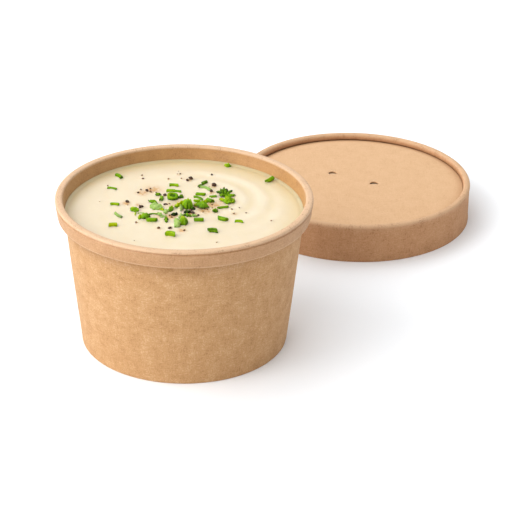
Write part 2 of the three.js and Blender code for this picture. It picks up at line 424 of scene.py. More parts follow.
@dataclass(frozen=True)
class BoardFibres:
    """The shared group that makes unbleached board: clouds, long and short fibres, grain and dark flecks.

    Attributes:
        cloud_scale, mottle_scale, grain_scale, dot_scale: how fine each is, in turns for each millimetre.
        upright, level: how the soft streaks up and round the board are squeezed.
        pale_fibre, dark_fibre: how the single fibres are squeezed.
        mottle, clouds, streaks, grain: how much each changes the board's tone.
        contrast: how far the tone goes towards the colour of the fibres.
        pale, fleck, shade: how much of the fibres' colour single fibres, flecks and painted shade take.
        coarse: how high the grain stands against the streaks.
        roughness: where the board is dark and where it is pale.
    """

    cloud_scale: float = 0.14
    mottle_scale: float = 0.5
    grain_scale: float = 1.5
    dot_scale: float = 1.15
    upright: tuple[float, float, float] = (1.2, 0.22, 1)
    level: tuple[float, float, float] = (0.25, 1.3, 1)
    pale_fibre: tuple[float, float, float] = (0.5, 2.2, 1)
    dark_fibre: tuple[float, float, float] = (2.0, 0.5, 1)
    mottle: float = 0.7
    clouds: float = 0.15
    streaks: float = 0.08
    grain: float = 0.22
    contrast: float = 0.55
    pale: float = 0.2
    fleck: float = 0.4
    shade: float = 0.6
    coarse: float = 0.8
    roughness: tuple[float, float] = (0.9, 0.72)

    def group(self) -> bpy.types.NodeTree:
        """Builds the node group.

        Returns:
            The group, with the board's colour, roughness and height as outputs.
        """
        made = bpy.data.node_groups.new("board fibres", "ShaderNodeTree")
        sockets = made.interface
        sockets.new_socket("Place", in_out="INPUT", socket_type="NodeSocketVector")
        for name in ("Board", "Dark fibre", "Pale fibre"):
            sockets.new_socket(name, in_out="INPUT", socket_type="NodeSocketColor")
        for name, value in (("Cloud", 1.0), ("Streak", 1.0), ("Fleck", 1.0), ("Shade", 0.0)):
            sockets.new_socket(name, in_out="INPUT", socket_type="NodeSocketFloat").default_value = value
        sockets.new_socket("Color", in_out="OUTPUT", socket_type="NodeSocketColor")
        for name in ("Roughness", "Height"):
            sockets.new_socket(name, in_out="OUTPUT", socket_type="NodeSocketFloat")
        sheet = NodeSheet(made)
        given = sheet.add("NodeGroupInput").outputs
        place = given["Place"]
        upright = sheet.swing(sheet.stretch(place, self.upright), 1.0, 4)
        level = sheet.swing(sheet.stretch(place, self.level), 1.0, 4)
        streaks = sheet.math("ADD", upright, level)
        grain = sheet.swing(place, self.grain_scale, 4)
        tone = self._tone(sheet, given, streaks, grain)
        colour = self._colour(sheet, given, tone)
        height = sheet.math("MULTIPLY_ADD", grain, self.coarse, streaks)
        rough = sheet.span(tone, 0.1, 0.9, *self.roughness)
        sheet.add("NodeGroupOutput", {"Color": colour, "Roughness": rough, "Height": height})
        return made

    def _tone(
        self,
        sheet: NodeSheet,
        given: bpy.types.NodeOutputs,
        streaks: bpy.types.NodeSocket,
        grain: bpy.types.NodeSocket,
    ) -> bpy.types.NodeSocket:
        """Adds up clouds, streaks and grain.

        Args:
            sheet: the group's nodes.
            given: the group's inputs.
            streaks, grain: two of the parts, each about 0.

        Returns:
            The board's tone, 0 dark, 1 pale and 0.5 plain.
        """
        clouds = sheet.swing(given["Place"], self.cloud_scale, 4)
        mottle = sheet.swing(given["Place"], self.mottle_scale, 3)
        mottled = sheet.math("MULTIPLY_ADD", mottle, self.mottle, clouds)
        cloudy = sheet.math("MULTIPLY", mottled, given["Cloud"])
        streaky = sheet.math("MULTIPLY", streaks, given["Streak"])
        tone = sheet.math("MULTIPLY_ADD", streaky, self.streaks, 0.5)
        tone = sheet.math("MULTIPLY_ADD", cloudy, self.clouds, tone)
        return sheet.math("MULTIPLY_ADD", grain, self.grain, tone)

    def _colour(
        self, sheet: NodeSheet, given: bpy.types.NodeOutputs, tone: bpy.types.NodeSocket
    ) -> bpy.types.NodeSocket:
        """Turns the tone into colour and adds single fibres, flecks and painted shade.

        Args:
            sheet: the group's nodes.
            given: the group's inputs.
            tone: the board's tone.

        Returns:
            The board's colour.
        """
        place, dark, pale = given["Place"], given["Dark fibre"], given["Pale fibre"]
        long_pale = sheet.span(sheet.noise(sheet.stretch(place, self.pale_fibre), 1.0, 2), 0.66, 0.78)
        long_dark = sheet.span(sheet.noise(sheet.stretch(place, self.dark_fibre), 1.3, 2), 0.7, 0.8)
        dots = sheet.span(sheet.noise(place, self.dot_scale, 1), 0.74, 0.82)
        colour = sheet.mix(sheet.span(tone, 0.5, 0.0, 0, self.contrast), given["Board"], dark)
        colour = sheet.mix(sheet.span(tone, 0.5, 1.0, 0, self.contrast), colour, pale)
        colour = sheet.mix(sheet.math("MULTIPLY", long_pale, self.pale), colour, pale)
        flecks = sheet.math("MULTIPLY", given["Fleck"], self.fleck)
        flecks = sheet.math("MULTIPLY", sheet.math("MAXIMUM", long_dark, dots), flecks)
        colour = sheet.mix(flecks, colour, dark)
        # Painted shade: the colour goes towards the dark fibres where the mesh marks shade.
        return sheet.mix(sheet.math("MULTIPLY", given["Shade"], self.shade), colour, dark)


@dataclass(frozen=True)
class BoardFinish:
    """Unbleached board, matt outside and slightly sealed inside.

    Attributes:
        name: the material's name.
        board, dark, pale: the board's own colour and those of its dark and pale fibres.
        cloud, streak, fleck: how strongly its clouds, streaks and dark flecks show.
        painted_highlight: the paler colour of edges that catch the light, a painted highlight. The mesh tells
            where it goes, and where painted shade darkens the board.
        specular: how much the surface shines.
        roughness: how rough it is against plain board.
        relief: how strongly the fibres stand out.
        fibre_depth: how high they stand, in millimetres.
    """

    name: str
    board: Colour
    dark: Colour
    pale: Colour
    cloud: float = 1.0
    streak: float = 1.0
    fleck: float = 1.0
    painted_highlight: Colour = srgb(204, 168, 132)
    specular: float = 0.4
    roughness: float = 1.0
    relief: float = 0.5
    fibre_depth: float = 0.03

    def material(self, fibres: bpy.types.NodeTree) -> bpy.types.Material:
        """Builds the material around the shared fibre group.

        Args:
            fibres: the group that BoardFibres builds.

        Returns:
            The material.
        """
        made, sheet, shader = new_finish(self.name)
        # The board takes the painted highlight colour where the mesh marks lit edges, and a painted shade
        # towards the dark fibres where the mesh marks shade.
        group = sheet.add("ShaderNodeGroup", {
            "Place": sheet.add("ShaderNodeUVMap", uv_map=BOARD_MAP).outputs[0],
            "Board": sheet.mix(sheet.attribute("painted_highlight"), self.board, self.painted_highlight),
            "Dark fibre": self.dark,
            "Pale fibre": self.pale,
            "Cloud": self.cloud,
            "Streak": self.streak,
            "Fleck": self.fleck,
            "Shade": sheet.attribute("shade"),
        }, node_tree=fibres)
        sheet.feed(shader, {
            "Base Color": group.outputs["Color"],
            "Roughness": sheet.math("MULTIPLY", group.outputs["Roughness"], self.roughness),
            "Normal": sheet.bump(group.outputs["Height"], self.fibre_depth, self.relief),
            "Specular IOR Level": self.specular,
        })
        return made


@dataclass(frozen=True)
class SoupFinish:
    """Thick cream soup: painted light and shade on its swirl, paler on the crests and darker and yellower in
    the troughs, and yellower and darker at the wall, partly painted shade.

    Attributes:
        cream, crest, trough: its colours where it lies flat, and on the swirl, where paler crests and darker
            troughs are painted light and shade.
        edge, edge_share: its yellower, darker colour towards the wall, partly its own and partly painted
            shade, and how much of it shows there.
        film_and_shade: its darker colour where it lies thin against the wall, partly its own and partly a
            painted shade along that edge.
        stain_and_shade: its tan colour round the pepper and the pieces, partly spice-stained soup and partly
            painted shade round the pieces.
        cloud_scale, cloud_reach: how fine and how strong its uneven patches are.
        blot_scale: how fine the stains are broken up.
        ripple_scale, ripple_depth, ripple_strength: the small unevenness of its skin, in millimetres.
        roughness, sheen_change: how matt it is, and how much that varies.
        specular: how strongly it mirrors.
        depth, scatter, scatter_share: how deep light goes in, in millimetres, each channel's share of
            that depth, and how much of the light goes in.
    """

    cream: Colour = srgb(214, 199, 170)
    crest: Colour = srgb(219, 206, 179)
    trough: Colour = srgb(211, 195, 161)
    edge: Colour = srgb(202, 183, 134)
    edge_share: float = 0.74
    film_and_shade: Colour = srgb(176, 160, 119)
    stain_and_shade: Colour = srgb(190, 140, 76)
    cloud_scale: float = 90
    cloud_reach: float = 0.3
    blot_scale: float = 700
    ripple_scale: float = 420
    ripple_depth: float = 0.12
    ripple_strength: float = 0.25
    roughness: float = 0.34
    sheen_change: float = 0.06
    specular: float = 0.4
    depth: float = 2.5
    scatter: tuple[float, float, float] = (1.0, 0.72, 0.42)
    scatter_share: float = 0.35

    def material(self) -> bpy.types.Material:
        """Builds the soup's material and returns it."""
        made, sheet, shader = new_finish("cream_soup")
        place = sheet.add("ShaderNodeTexCoord").outputs["Object"]
        cloud = sheet.swing(place, self.cloud_scale, 3, self.cloud_reach)
        wave = sheet.math("ADD", sheet.attribute("swirl"), cloud)
        # Painted light and shade on the swirl: paler on its crests, darker and yellower in its troughs.
        colour = sheet.mix(sheet.span(wave, 0.0, -0.9), self.cream, self.trough)
        colour = sheet.mix(sheet.span(wave, 0.0, 0.9), colour, self.crest)
        # Yellower and darker towards the wall: partly the soup's own colour, partly painted shade.
        at_edge = sheet.math("MULTIPLY", sheet.attribute("edge"), self.edge_share)
        colour = sheet.mix(at_edge, colour, self.edge)
        # A darker band where the soup lies thin against the wall, partly a painted shade.
        colour = sheet.mix(sheet.attribute("film_and_shade"), colour, self.film_and_shade)
        # Tan spots, partly spice-stained soup and partly painted shade round the pieces.
        blot = sheet.span(sheet.noise(place, self.blot_scale, 4), 0.35, 0.6, 0.4, 1.2)
        colour = sheet.mix(sheet.math("MULTIPLY", sheet.attribute("stain_and_shade"), blot), colour, self.stain_and_shade)
        ripple = sheet.noise(place, self.ripple_scale, 3)
        matt, change = self.roughness, self.sheen_change
        sheet.feed(shader, {
            "Base Color": colour,
            "Normal": sheet.bump(ripple, self.ripple_depth, self.ripple_strength),
            "Roughness": sheet.span(ripple, 0.3, 0.7, matt - change, matt + change),
            "Subsurface Weight": self.scatter_share,
            "Subsurface Radius": self.scatter,
            "Subsurface Scale": self.depth * MM,
            "Specular IOR Level": self.specular,
        })
        return made


@dataclass(frozen=True)
class HerbFinish:
    """Cut green herb: from dark green through mid green to lime, paler and greyer where it is wet through.

    Attributes:
        black, dark, mid, lime, yellow: its colours by tone, from -0.3 to 1.
        wet: its colour where it is wet through.
        blotch_scale, blotch_reach: how fine and how strong its uneven patches are.
        vein_scale, vein_depth, vein_strength: its fine veins, their depth in millimetres.
        roughness, specular: how matt it is, at its least and greatest, and how strongly it mirrors.
        depth, scatter, scatter_share: how deep light goes in, in millimetres, each channel's share of
            that depth, and how much of the light goes in.
    """

    black: Colour = srgb(20, 34, 6)
    dark: Colour = srgb(62, 96, 8)
    mid: Colour = srgb(104, 146, 10)
    lime: Colour = srgb(128, 164, 6)
    yellow: Colour = srgb(160, 172, 4)
    wet: Colour = srgb(160, 186, 112)
    blotch_scale: float = 900
    blotch_reach: float = 0.12
    vein_scale: float = 2600
    vein_depth: float = 0.05
    vein_strength: float = 0.35
    roughness: tuple[float, float] = (0.34, 0.5)
    specular: float = 0.08
    depth: float = 0.5
    scatter: tuple[float, float, float] = (0.5, 1.0, 0.2)
    scatter_share: float = 0.15

    def material(self) -> bpy.types.Material:
        """Builds the herbs' material and returns it."""
        made, sheet, shader = new_finish("green_herbs")
        place = sheet.add("ShaderNodeTexCoord").outputs["Object"]
        blotch = sheet.swing(place, self.blotch_scale, 3, self.blotch_reach)
        tone = sheet.math("ADD", sheet.attribute("tone"), blotch)
        colour = sheet.mix(sheet.span(tone, -0.3, 0.05), self.black, self.dark)
        colour = sheet.mix(sheet.span(tone, 0.0, 0.4), colour, self.mid)
        colour = sheet.mix(sheet.span(tone, 0.4, 0.75), colour, self.lime)
        colour = sheet.mix(sheet.span(tone, 0.75, 1.0), colour, self.yellow)
        colour = sheet.mix(sheet.attribute("wet"), colour, self.wet)
        veins = sheet.noise(place, self.vein_scale, 2)
        sheet.feed(shader, {
            "Base Color": colour,
            "Normal": sheet.bump(veins, self.vein_depth, self.vein_strength),
            "Roughness": sheet.span(veins, 0.3, 0.7, *self.roughness),
            "Specular IOR Level": self.specular,
            "Subsurface Weight": self.scatter_share,
            "Subsurface Radius": self.scatter,
            "Subsurface Scale": self.depth * MM,
        })
        return made


@dataclass(frozen=True)
class PepperFinish:
    """Cracked pepper: near black skin with brown wrinkles, and tan where a grain is broken.

    Attributes:
        skin, wrinkle, kernel: its colours.
        wrinkle_scale, wrinkle_depth, wrinkle_strength: its fine wrinkles, their depth in millimetres.
        roughness, specular: how matt it is, at its least and greatest, and how strongly it mirrors.
    """

    skin: Colour = srgb(42, 27, 22)
    wrinkle: Colour = srgb(88, 54, 34)
    kernel: Colour = srgb(190, 142, 92)
    wrinkle_scale: float = 2200
    wrinkle_depth: float = 0.1
    wrinkle_strength: float = 0.6
    roughness: tuple[float, float] = (0.4, 0.7)
    specular: float = 0.3

    def material(self) -> bpy.types.Material:
        """Builds the pepper's material and returns it."""
        made, sheet, shader = new_finish("pepper")
        place = sheet.add("ShaderNodeTexCoord").outputs["Object"]
        wrinkles = sheet.noise(place, self.wrinkle_scale, 3)
        skin = sheet.mix(sheet.span(wrinkles, 0.42, 0.66), self.skin, self.wrinkle)
        sheet.feed(shader, {
            "Base Color": sheet.mix(sheet.attribute("crack"), skin, self.kernel),
            "Normal": sheet.bump(wrinkles, self.wrinkle_depth, self.wrinkle_strength),
            "Roughness": sheet.span(wrinkles, 0.3, 0.7, *self.roughness),
            "Specular IOR Level": self.specular,
        })
        return made


CUP_BOARD = BoardFinish(
    name="cup_board",
    board=srgb(183, 138, 88),
    dark=srgb(137, 92, 48),
    pale=srgb(214, 176, 134),
    specular=0.8,
)
RIM_BOARD = BoardFinish(
    name="rim_board",
    board=srgb(178, 132, 86),
    dark=srgb(135, 90, 47),
    pale=srgb(206, 163, 117),
    cloud=0.7,
    specular=0.8,
    roughness=0.75,
)
INNER_BOARD = BoardFinish(
    name="inner_board",
    board=srgb(180, 132, 79),
    dark=srgb(139, 90, 42),
    pale=srgb(200, 154, 98),
    streak=0.5,
    fleck=0.5,
    specular=0.9,
    roughness=0.6,
    relief=0.25,
)
PANEL_BOARD = BoardFinish(
    name="panel_board",
    board=srgb(204, 165, 125),
    dark=srgb(182, 141, 101),
    pale=srgb(218, 180, 142),
    cloud=0.7,
    streak=0.8,
    fleck=0.6,
    relief=0.35,
)
# The lid's board made darker for the ring, a painted shade on the skirt's upright side; the panel keeps the
# paler board.
SHADED_SKIRT_BOARD = BoardFinish(
    name="skirt_board_shaded",
    board=srgb(181, 134, 94),
    dark=srgb(136, 91, 55),
    pale=srgb(203, 159, 119),
)


@dataclass(frozen=True)
class Round:
    """A round node of the frame: where its axis stands and its largest radius and height, in millimetres."""

    x: float
    y: float
    radius: float
    height: float

    @classmethod
    def of_node(cls, node: str) -> "Round":
        """Measures a node of the frame and returns it."""
        low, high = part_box(node)
        middle = (low + high) / (2 * MM)
        return cls(middle.x, middle.y, (high.x - low.x) / (2 * MM), high.z / MM)


@dataclass
class Cup:
    """The board cup: its wall with folded foot and rolled collar, and the raised base.

    Attributes:
        rim: the frame's wall node. All sizes are in millimetres and bearings in degrees.
        collar_height, collar_foot_radius, collar_bulge: the collar below the bead.
        bead_width, bead_height, bead_flatness, bead_groove: the rolled bead and the groove under it.
        face_inset, groove_fall, groove_drop: how the collar's face runs up to that groove.
        wall, curl_wall, curl_slot: the board's thickness on the wall and in the curl, and the gap between.
        highlight_from, lip_highlight_height, lip_highlight: how far the painted highlight reaches down the
        bead and up the lip, and how strong it is on the lip.
        coated_from: how far below the top the coated inside begins.
        shade_reach, shade_depth, shade_least, shade_bearing: the painted shade on the board below the collar,
        deepest on the side the light comes from.
        inside_level: the height at which the inner face meets the soup.
        seam_bearing, seam_width, seam_step: the glued overlap.
        body_top_radius, body_foot_radius, lip_round: the tapered body, and the rounding of the lip.
        foot_width, foot_round: the board folded inwards at the foot.
        base_recess, base_thickness, base_gap: the raised base and the gap round it.
        segments: faces round.
    """

    rim: Round
    collar_height: float = 8.2
    collar_foot_radius: float = 56.6
    collar_bulge: float = 0.1
    bead_width: float = 3.4
    bead_height: float = 1.25
    body_top_radius: float = 53.6
    body_foot_radius: float = 46.9
    wall: float = 0.5
    curl_wall: float = 0.9
    curl_slot: float = 0.4
    foot_width: float = 1.3
    foot_round: float = 0.5
    lip_round: float = 0.35
    bead_flatness: float = 0.62
    bead_groove: float = 0.42
    face_inset: float = 0.08
    groove_fall: float = 0.85
    groove_drop: float = 0.35
    base_recess: float = 5.0
    base_gap: float = 0.3
    base_thickness: float = 0.6
    highlight_from: float = 1.3
    lip_highlight_height: float = 0.7
    lip_highlight: float = 0.5
    coated_from: float = 0.9
    shade_reach: float = 9.0
    shade_depth: float = 0.7
    shade_least: float = 0.25
    shade_bearing: float = 200.0
    inside_level: float = 63.0
    seam_bearing: float = 68.0
    seam_width: float = 7.0
    seam_step: float = 0.3
    segments: int = 288

    def body_radius(self, height: float) -> float:
        """Gives the radius of the tapered outer face at a height."""
        rise = self.rim.height - self.collar_height
        return self.body_foot_radius + (self.body_top_radius - self.body_foot_radius) * height / rise

    def inner_radius(self, height: float) -> float:
        """Gives the radius of the inner face at a height below the bead."""
        return self.body_radius(height) - self.wall

    def section(self) -> Profile:
        """Gives the wall's section, anticlockwise from the inside of the foot."""
        top, foot = self.rim.height, self.rim.height - self.collar_height
        half = self.bead_width / 2
        bead_foot = top - self.bead_height
        inside = self.rim.radius - self.bead_width
        foot_inside = self.body_foot_radius - self.foot_width
        curl, lip = self.curl_wall, self.lip_round
        at_curl = self.body_radius(foot + curl)
        face_top = (self.rim.radius - self.face_inset, bead_foot - self.groove_fall)
        return [
            (foot_inside, 0.2),
            (foot_inside + 0.2, 0),
            *arc((self.body_foot_radius - self.foot_round, self.foot_round), self.foot_round, -90, 0, 4),
            *straight((self.body_radius(1.0), 1.0), (self.body_top_radius, foot), 60),
            (at_curl, foot + curl),
            (inside + self.wall, bead_foot - curl),
            (self.rim.radius - curl, bead_foot - curl),
            (self.collar_foot_radius - curl, foot + curl),
            (at_curl + self.curl_slot, foot + curl),
            (self.body_top_radius + self.curl_slot, foot + 0.1),
            *arc((self.collar_foot_radius - lip, foot + lip), lip, -90, 0, 4),
            *straight((self.collar_foot_radius + self.collar_bulge, foot + 2 * lip), face_top, 8),
            (self.rim.radius - self.bead_groove, bead_foot - self.groove_drop),
            *shoulder((self.rim.radius - half, bead_foot), half, self.bead_height, self.bead_flatness, 22),
            *straight((inside - 0.05, bead_foot - 0.6), (inside - 0.16, bead_foot - 1.8), 3),
            *straight((self.inner_radius(self.inside_level), self.inside_level),
                      (self.inner_radius(self.base_recess), self.base_recess), 10),
            (foot_inside, self.base_recess),
        ]

    def shaped(self, angles: np.ndarray, radius: float, height: float) -> np.ndarray:
        """Gives a ring its glued overlap at the back and the slight unevenness of pressed board.

        Args:
            angles: the ring's angles.
            radius, height: where the ring is on the section.

        Returns:
            The ring's radii.
        """
        foot = self.rim.height - self.collar_height
        outside = 0.6 < height < foot - 0.2 and radius > self.body_radius(height) - 0.1
        uneven = 0.06 * np.sin(3 * angles + 0.7) + 0.04 * np.sin(7 * angles + height / 9)
        if not outside:
            return np.full(len(angles), radius)
        start = math.radians(self.seam_bearing)
        past = np.mod(angles - start, 2 * math.pi) * radius
        overlap = self.seam_step * (1 - smoothstep(past, self.seam_width - 0.8, self.seam_width + 0.8))
        return radius + uneven + overlap

    def build_wall(self, finishes: Sequence[bpy.types.Material]) -> bpy.types.Object:
        """Builds the wall with its foot and collar.

        Args:
            finishes: the outer board, the inner board and the collar's.

        Returns:
            The wall's object.
        """
        surface = revolve(self.section(), self.segments, self.shaped)
        surface.finishes = [self._finish(surface.corners[list(face)].mean(0)) for face in surface.faces]
        top, foot = self.rim.height, self.rim.height - self.collar_height
        x, y, z = surface.corners.T
        reach = np.hypot(x, y)
        # Painted highlight: paler on the top of the bead and along the collar's lower lip.
        on_lip = (reach > self.body_top_radius + 2) & (z > foot - 0.1)
        lip = self.lip_highlight * on_lip * (1 - smoothstep(z, foot + self.lip_highlight_height / 2, foot + self.lip_highlight_height))
        bead = smoothstep(z, top - self.highlight_from, top - self.highlight_from / 2)
        surface.value("painted_highlight", np.maximum(bead, lip))
        # Painted shade on the body below the collar's overhang, deepest on the side the light comes from.
        below = (reach > self.body_radius(0) - 0.2) & (z < foot + 0.1) & (reach < self.body_top_radius + 0.5)
        close = self.shade_depth * smoothstep(z, foot - self.shade_reach, foot - 1)
        toward = 0.5 + 0.5 * np.cos(np.arctan2(y, x) - math.radians(self.shade_bearing))
        surface.value("shade", below * close * np.maximum(toward, self.shade_least))
        surface.moved((self.rim.x, self.rim.y, 0))
        return surface.to_object("cup_wall_board", finishes)

    def _finish(self, middle: np.ndarray) -> int:
        """Tells which board a face has: 0 outside, 1 on the inner side below the bead, 2 on bead and collar.

        Args:
            middle: the face's middle, measured from the cup's axis.

        Returns:
            The finish's number.
        """
        x, y, z = middle
        reach = math.hypot(x, y)
        foot = self.rim.height - self.collar_height
        inner_edge = self.rim.radius - self.bead_width + self.wall
        coated = inner_edge if z > foot + self.curl_wall else self.body_radius(z) - self.wall / 2
        if self.base_recess < z < self.rim.height - self.coated_from and reach < coated:
            return 1
        return 2 if z > self.rim.height - self.collar_height and reach > self.body_top_radius else 0

    def build_base(self, finish: bpy.types.Material) -> bpy.types.Object:
        """Builds the raised base, slightly domed and with a pressed ring.

        Args:
            finish: the board.

        Returns:
            The base's object.
        """
        radius = self.inner_radius(self.base_recess) - self.base_gap
        bottom = self.base_recess + 0.1
        reach = [radius * share / 24 for share in range(25)]
        dome = [
            0.08 * (1 - (r / radius) ** 2) + 0.06 * math.cos(8 * math.pi * r / radius) ** 8
            for r in reach
        ]
        under = [(r, bottom + lift) for r, lift in zip(reach, dome)]
        over = [(r, bottom + self.base_thickness) for r in (radius, 0.0)]
        surface = revolve(under + over, 144)
        flat = surface.corners
        surface.board = [tuple(flat[corner][:2]) for face in surface.faces for corner in face]
        surface.moved((self.rim.x, self.rim.y, 0))
        return surface.to_object("cup_base_board", [finish])


@dataclass(frozen=True)
class Swirl:
    """The stirred swirl: arms that wind out from near the garnish and fade towards the left.

    Attributes:
        centre: the point that it winds round, from the cup's axis.
        height: how far a crest stands over the level.
        spacing, arms, start: the distance between troughs, how many arms there are, and a trough's radius.
        bearing, far_side, focus: where it is strongest, its share on the far side, and how narrow it is.
        trough: how narrow the troughs are.
        rises_from, fades_from: the radii over which it comes in and fades out.
    """

    centre: tuple[float, float] = (8.0, 6.0)
    height: float = 0.1
    spacing: float = 9.4
    arms: int = 3
    start: float = 21.4
    bearing: float = 30.0
    far_side: float = 0.1
    focus: float = 3.0
    trough: float = 1.3
    rises_from: tuple[float, float] = (4.0, 18.0)
    fades_from: tuple[float, float] = (39.0, 50.0)

    def wave(self, x: np.ndarray, y: np.ndarray) -> np.ndarray:
        """Gives the swirl from -1 in a trough to 1 on a crest.

        Args:
            x, y: places measured from the cup's axis, in millimetres.

        Returns:
            The wave at each place.
        """
        dx, dy = x - self.centre[0], y - self.centre[1]
        reach, bearing = np.hypot(dx, dy), np.arctan2(dy, dx)
        phase = 2 * math.pi * (reach - self.start) / self.spacing - self.arms * bearing
        toward = np.abs(np.cos((bearing - math.radians(self.bearing)) / 2)) ** (2 * self.focus)
        sideways = self.far_side + (1 - self.far_side) * toward
        fade = smoothstep(reach, *self.rises_from) * (1 - smoothstep(np.hypot(x, y), *self.fades_from))
        return (1 - 2 * ((1 + np.cos(phase)) / 2) ** self.trough) * sideways * fade


@dataclass
class Soup:
    """The soup up to its level, with its swirl, its edge on the wall and the rise at each piece on it.

    Attributes:
        cup, swirl: the cup that holds it, and its relief.
        level: its height over the table.
        rings, segments: faces across and round.
        wall_reach: how far it goes into the board of the wall.
        meniscus, meniscus_width: how far it climbs the wall, and over what width.
        meniscus_shares: how much of that climb is even, and how much is added at the back.
        edge_widths, edge_bearing: the least and greatest width of its yellower, darker edge, partly painted
            shade, and where it is widest.
        film_and_shade_width, film_and_shade_shares: the width of the darker band where it lies thin against
        the wall, partly a painted shade, its least strength and what is added at the right.
        cling, cling_width: the rise against each piece, and its width.
        pieces: place and radius of each piece that lies in it.
        stain_and_shade_spots, stain_and_shade_strength: place, radius and share of each tan spot round the
        pepper and pieces, partly spice-stained soup and partly painted shade, and the strength of all.
    """

    cup: Cup
    level: float = 63.0
    swirl: Swirl = field(default_factory=Swirl)
    meniscus: float = 0.7
    meniscus_width: float = 2.2
    meniscus_shares: tuple[float, float] = (0.6, 0.4)
    wall_reach: float = 0.05
    edge_widths: tuple[float, float] = (5.0, 15.0)
    edge_bearing: float = 38.0
    film_and_shade_width: float = 3.4
    film_and_shade_shares: tuple[float, float] = (0.2, 0.65)
    stain_and_shade_strength: float = 1.3
    cling: float = 0.22
    cling_width: float = 0.7
    rings: int = 130
    segments: int = 320
    pieces: list[tuple[float, float, float]] = field(default_factory=list)
    stain_and_shade_spots: Sequence[tuple[float, float, float, float]] = (
        (4.7, 3.2, 2.0, 0.9), (-5.8, -8.0, 2.4, 0.9), (9.6, -1.4, 2.8, 0.8), (-2.5, 6.5, 2.0, 0.5),
        (12.8, 4.8, 3.4, 0.9), (3.2, -5.6, 2.6, 0.7), (-0.4, -22.0, 1.5, 1.0), (22.1, -4.3, 1.1, 0.8),
        (-15.0, 20.0, 3.6, 0.7), (-19.8, 16.0, 2.4, 0.8), (-26.4, 4.6, 1.8, 0.8), (-20.6, 3.4, 1.6, 0.6),
        (12.0, 17.2, 1.5, 0.6), (-10.5, -20.6, 1.0, 0.4), (-11.5, -8.6, 2.4, 0.35), (16.2, 8.6, 2.0, 0.4),
        (-5.6, 3.6, 1.8, 0.5), (12.5, 24.6, 1.6, 0.35), (1.0, 31.0, 1.6, 0.35), (-4.0, 37.0, 1.2, 0.35),
    )

    def height(self, x: np.ndarray, y: np.ndarray) -> np.ndarray:
        """Gives the height of the bare soup.

        Args:
            x, y: places measured from the cup's axis.

        Returns:
            Heights over the table.
        """
        return self.level + self.swirl.height * self.swirl.wave(x, y)

    def _clinging(self, x: np.ndarray, y: np.ndarray) -> np.ndarray:
        """Gives the small rise of soup against each piece of garnish.

        Args:
            x, y: places measured from the cup's axis.

        Returns:
            The rise at each place.
        """
        rise = np.zeros_like(x)
        for px, py, radius in self.pieces:
            away = np.maximum(np.hypot(x - px, y - py) - radius, 0)
            rise = np.maximum(rise, self.cling * np.exp(-((away / self.cling_width) ** 2)))
        return rise

    def build(self, finish: bpy.types.Material) -> bpy.types.Object:
        """Builds the soup.

        Args:
            finish: the soup's material.

        Returns:
            The soup's object.
        """
        outer = self.cup.inner_radius(self.level) + self.wall_reach
        bottom = self.cup.base_recess + self.cup.base_thickness + 0.2
        low = self.cup.inner_radius(bottom) + self.wall_reach
        sides = straight((low, bottom), (outer, self.level), 4)
        top = [(outer * (self.rings - ring) / self.rings, self.level) for ring in range(1, self.rings + 1)]
        surface = revolve([(0.0, bottom), *sides, *top], self.segments, closed=False)
        x, y, z = surface.corners.T
        on_top = z > self.level - 0.01
        reach = np.hypot(x, y)
        bearing = np.arctan2(y, x)
        even, added = self.meniscus_shares
        clinging = self.meniscus * (even + added * np.sin(bearing))
        climb = clinging * smoothstep(reach, outer - self.meniscus_width, outer) ** 2
        lifted = self.height(x, y) + climb + self._clinging(x, y)
        surface.corners[:, 2] = np.where(on_top, lifted, z)
        # Tan spots, partly spice-stained soup and partly painted shade round the pieces.
        stain_and_shade = np.zeros_like(x)
        for sx, sy, radius, share in self.stain_and_shade_spots:
            stain_and_shade = np.maximum(stain_and_shade, share * np.exp(-((np.hypot(x - sx, y - sy) / radius) ** 2)))
        surface.value("swirl", self.swirl.wave(x, y))
        # The yellower, darker edge by the wall, partly painted shade, widest towards the edge bearing.
        narrow, wide = self.edge_widths
        toward = np.cos((bearing - math.radians(self.edge_bearing)) / 2) ** 2
        surface.value("edge", smoothstep((outer - reach) / (narrow + (wide - narrow) * toward), 1.0, 0.0))
        # The darker band against the wall, partly a painted shade, strongest at the right.
        least, added = self.film_and_shade_shares
        rightward = least + added * np.cos(bearing / 2) ** 4
        surface.value("film_and_shade", rightward * smoothstep(outer - reach, self.film_and_shade_width, 0.3))
        surface.value("stain_and_shade", self.stain_and_shade_strength * stain_and_shade)
        surface.board = []
        surface.moved((self.cup.rim.x, self.cup.rim.y, 0))
        return surface.to_object("soup_cream", [finish], crease=60)


class Shade(Enum):
    """How green a piece of herb is, and how wet through."""

    BLACK = (-0.3, 0.0)
    DARK = (0.12, 0.0)
    DEEP = (0.28, 0.0)
    MID = (0.45, 0.0)
    LIME = (0.72, 0.0)
    YELLOW = (0.95, 0.0)
    GREY = (0.3, 0.5)
    WET = (0.6, 0.75)


@dataclass(frozen=True)
class Snip:
    """A slice of chive: its place from the cup's axis, turn, length, width, shade and tilt in degrees."""

    x: float
    y: float
    turn: float
    length: float
    width: float
    shade: Shade = Shade.MID
    pitch: float = 0.0


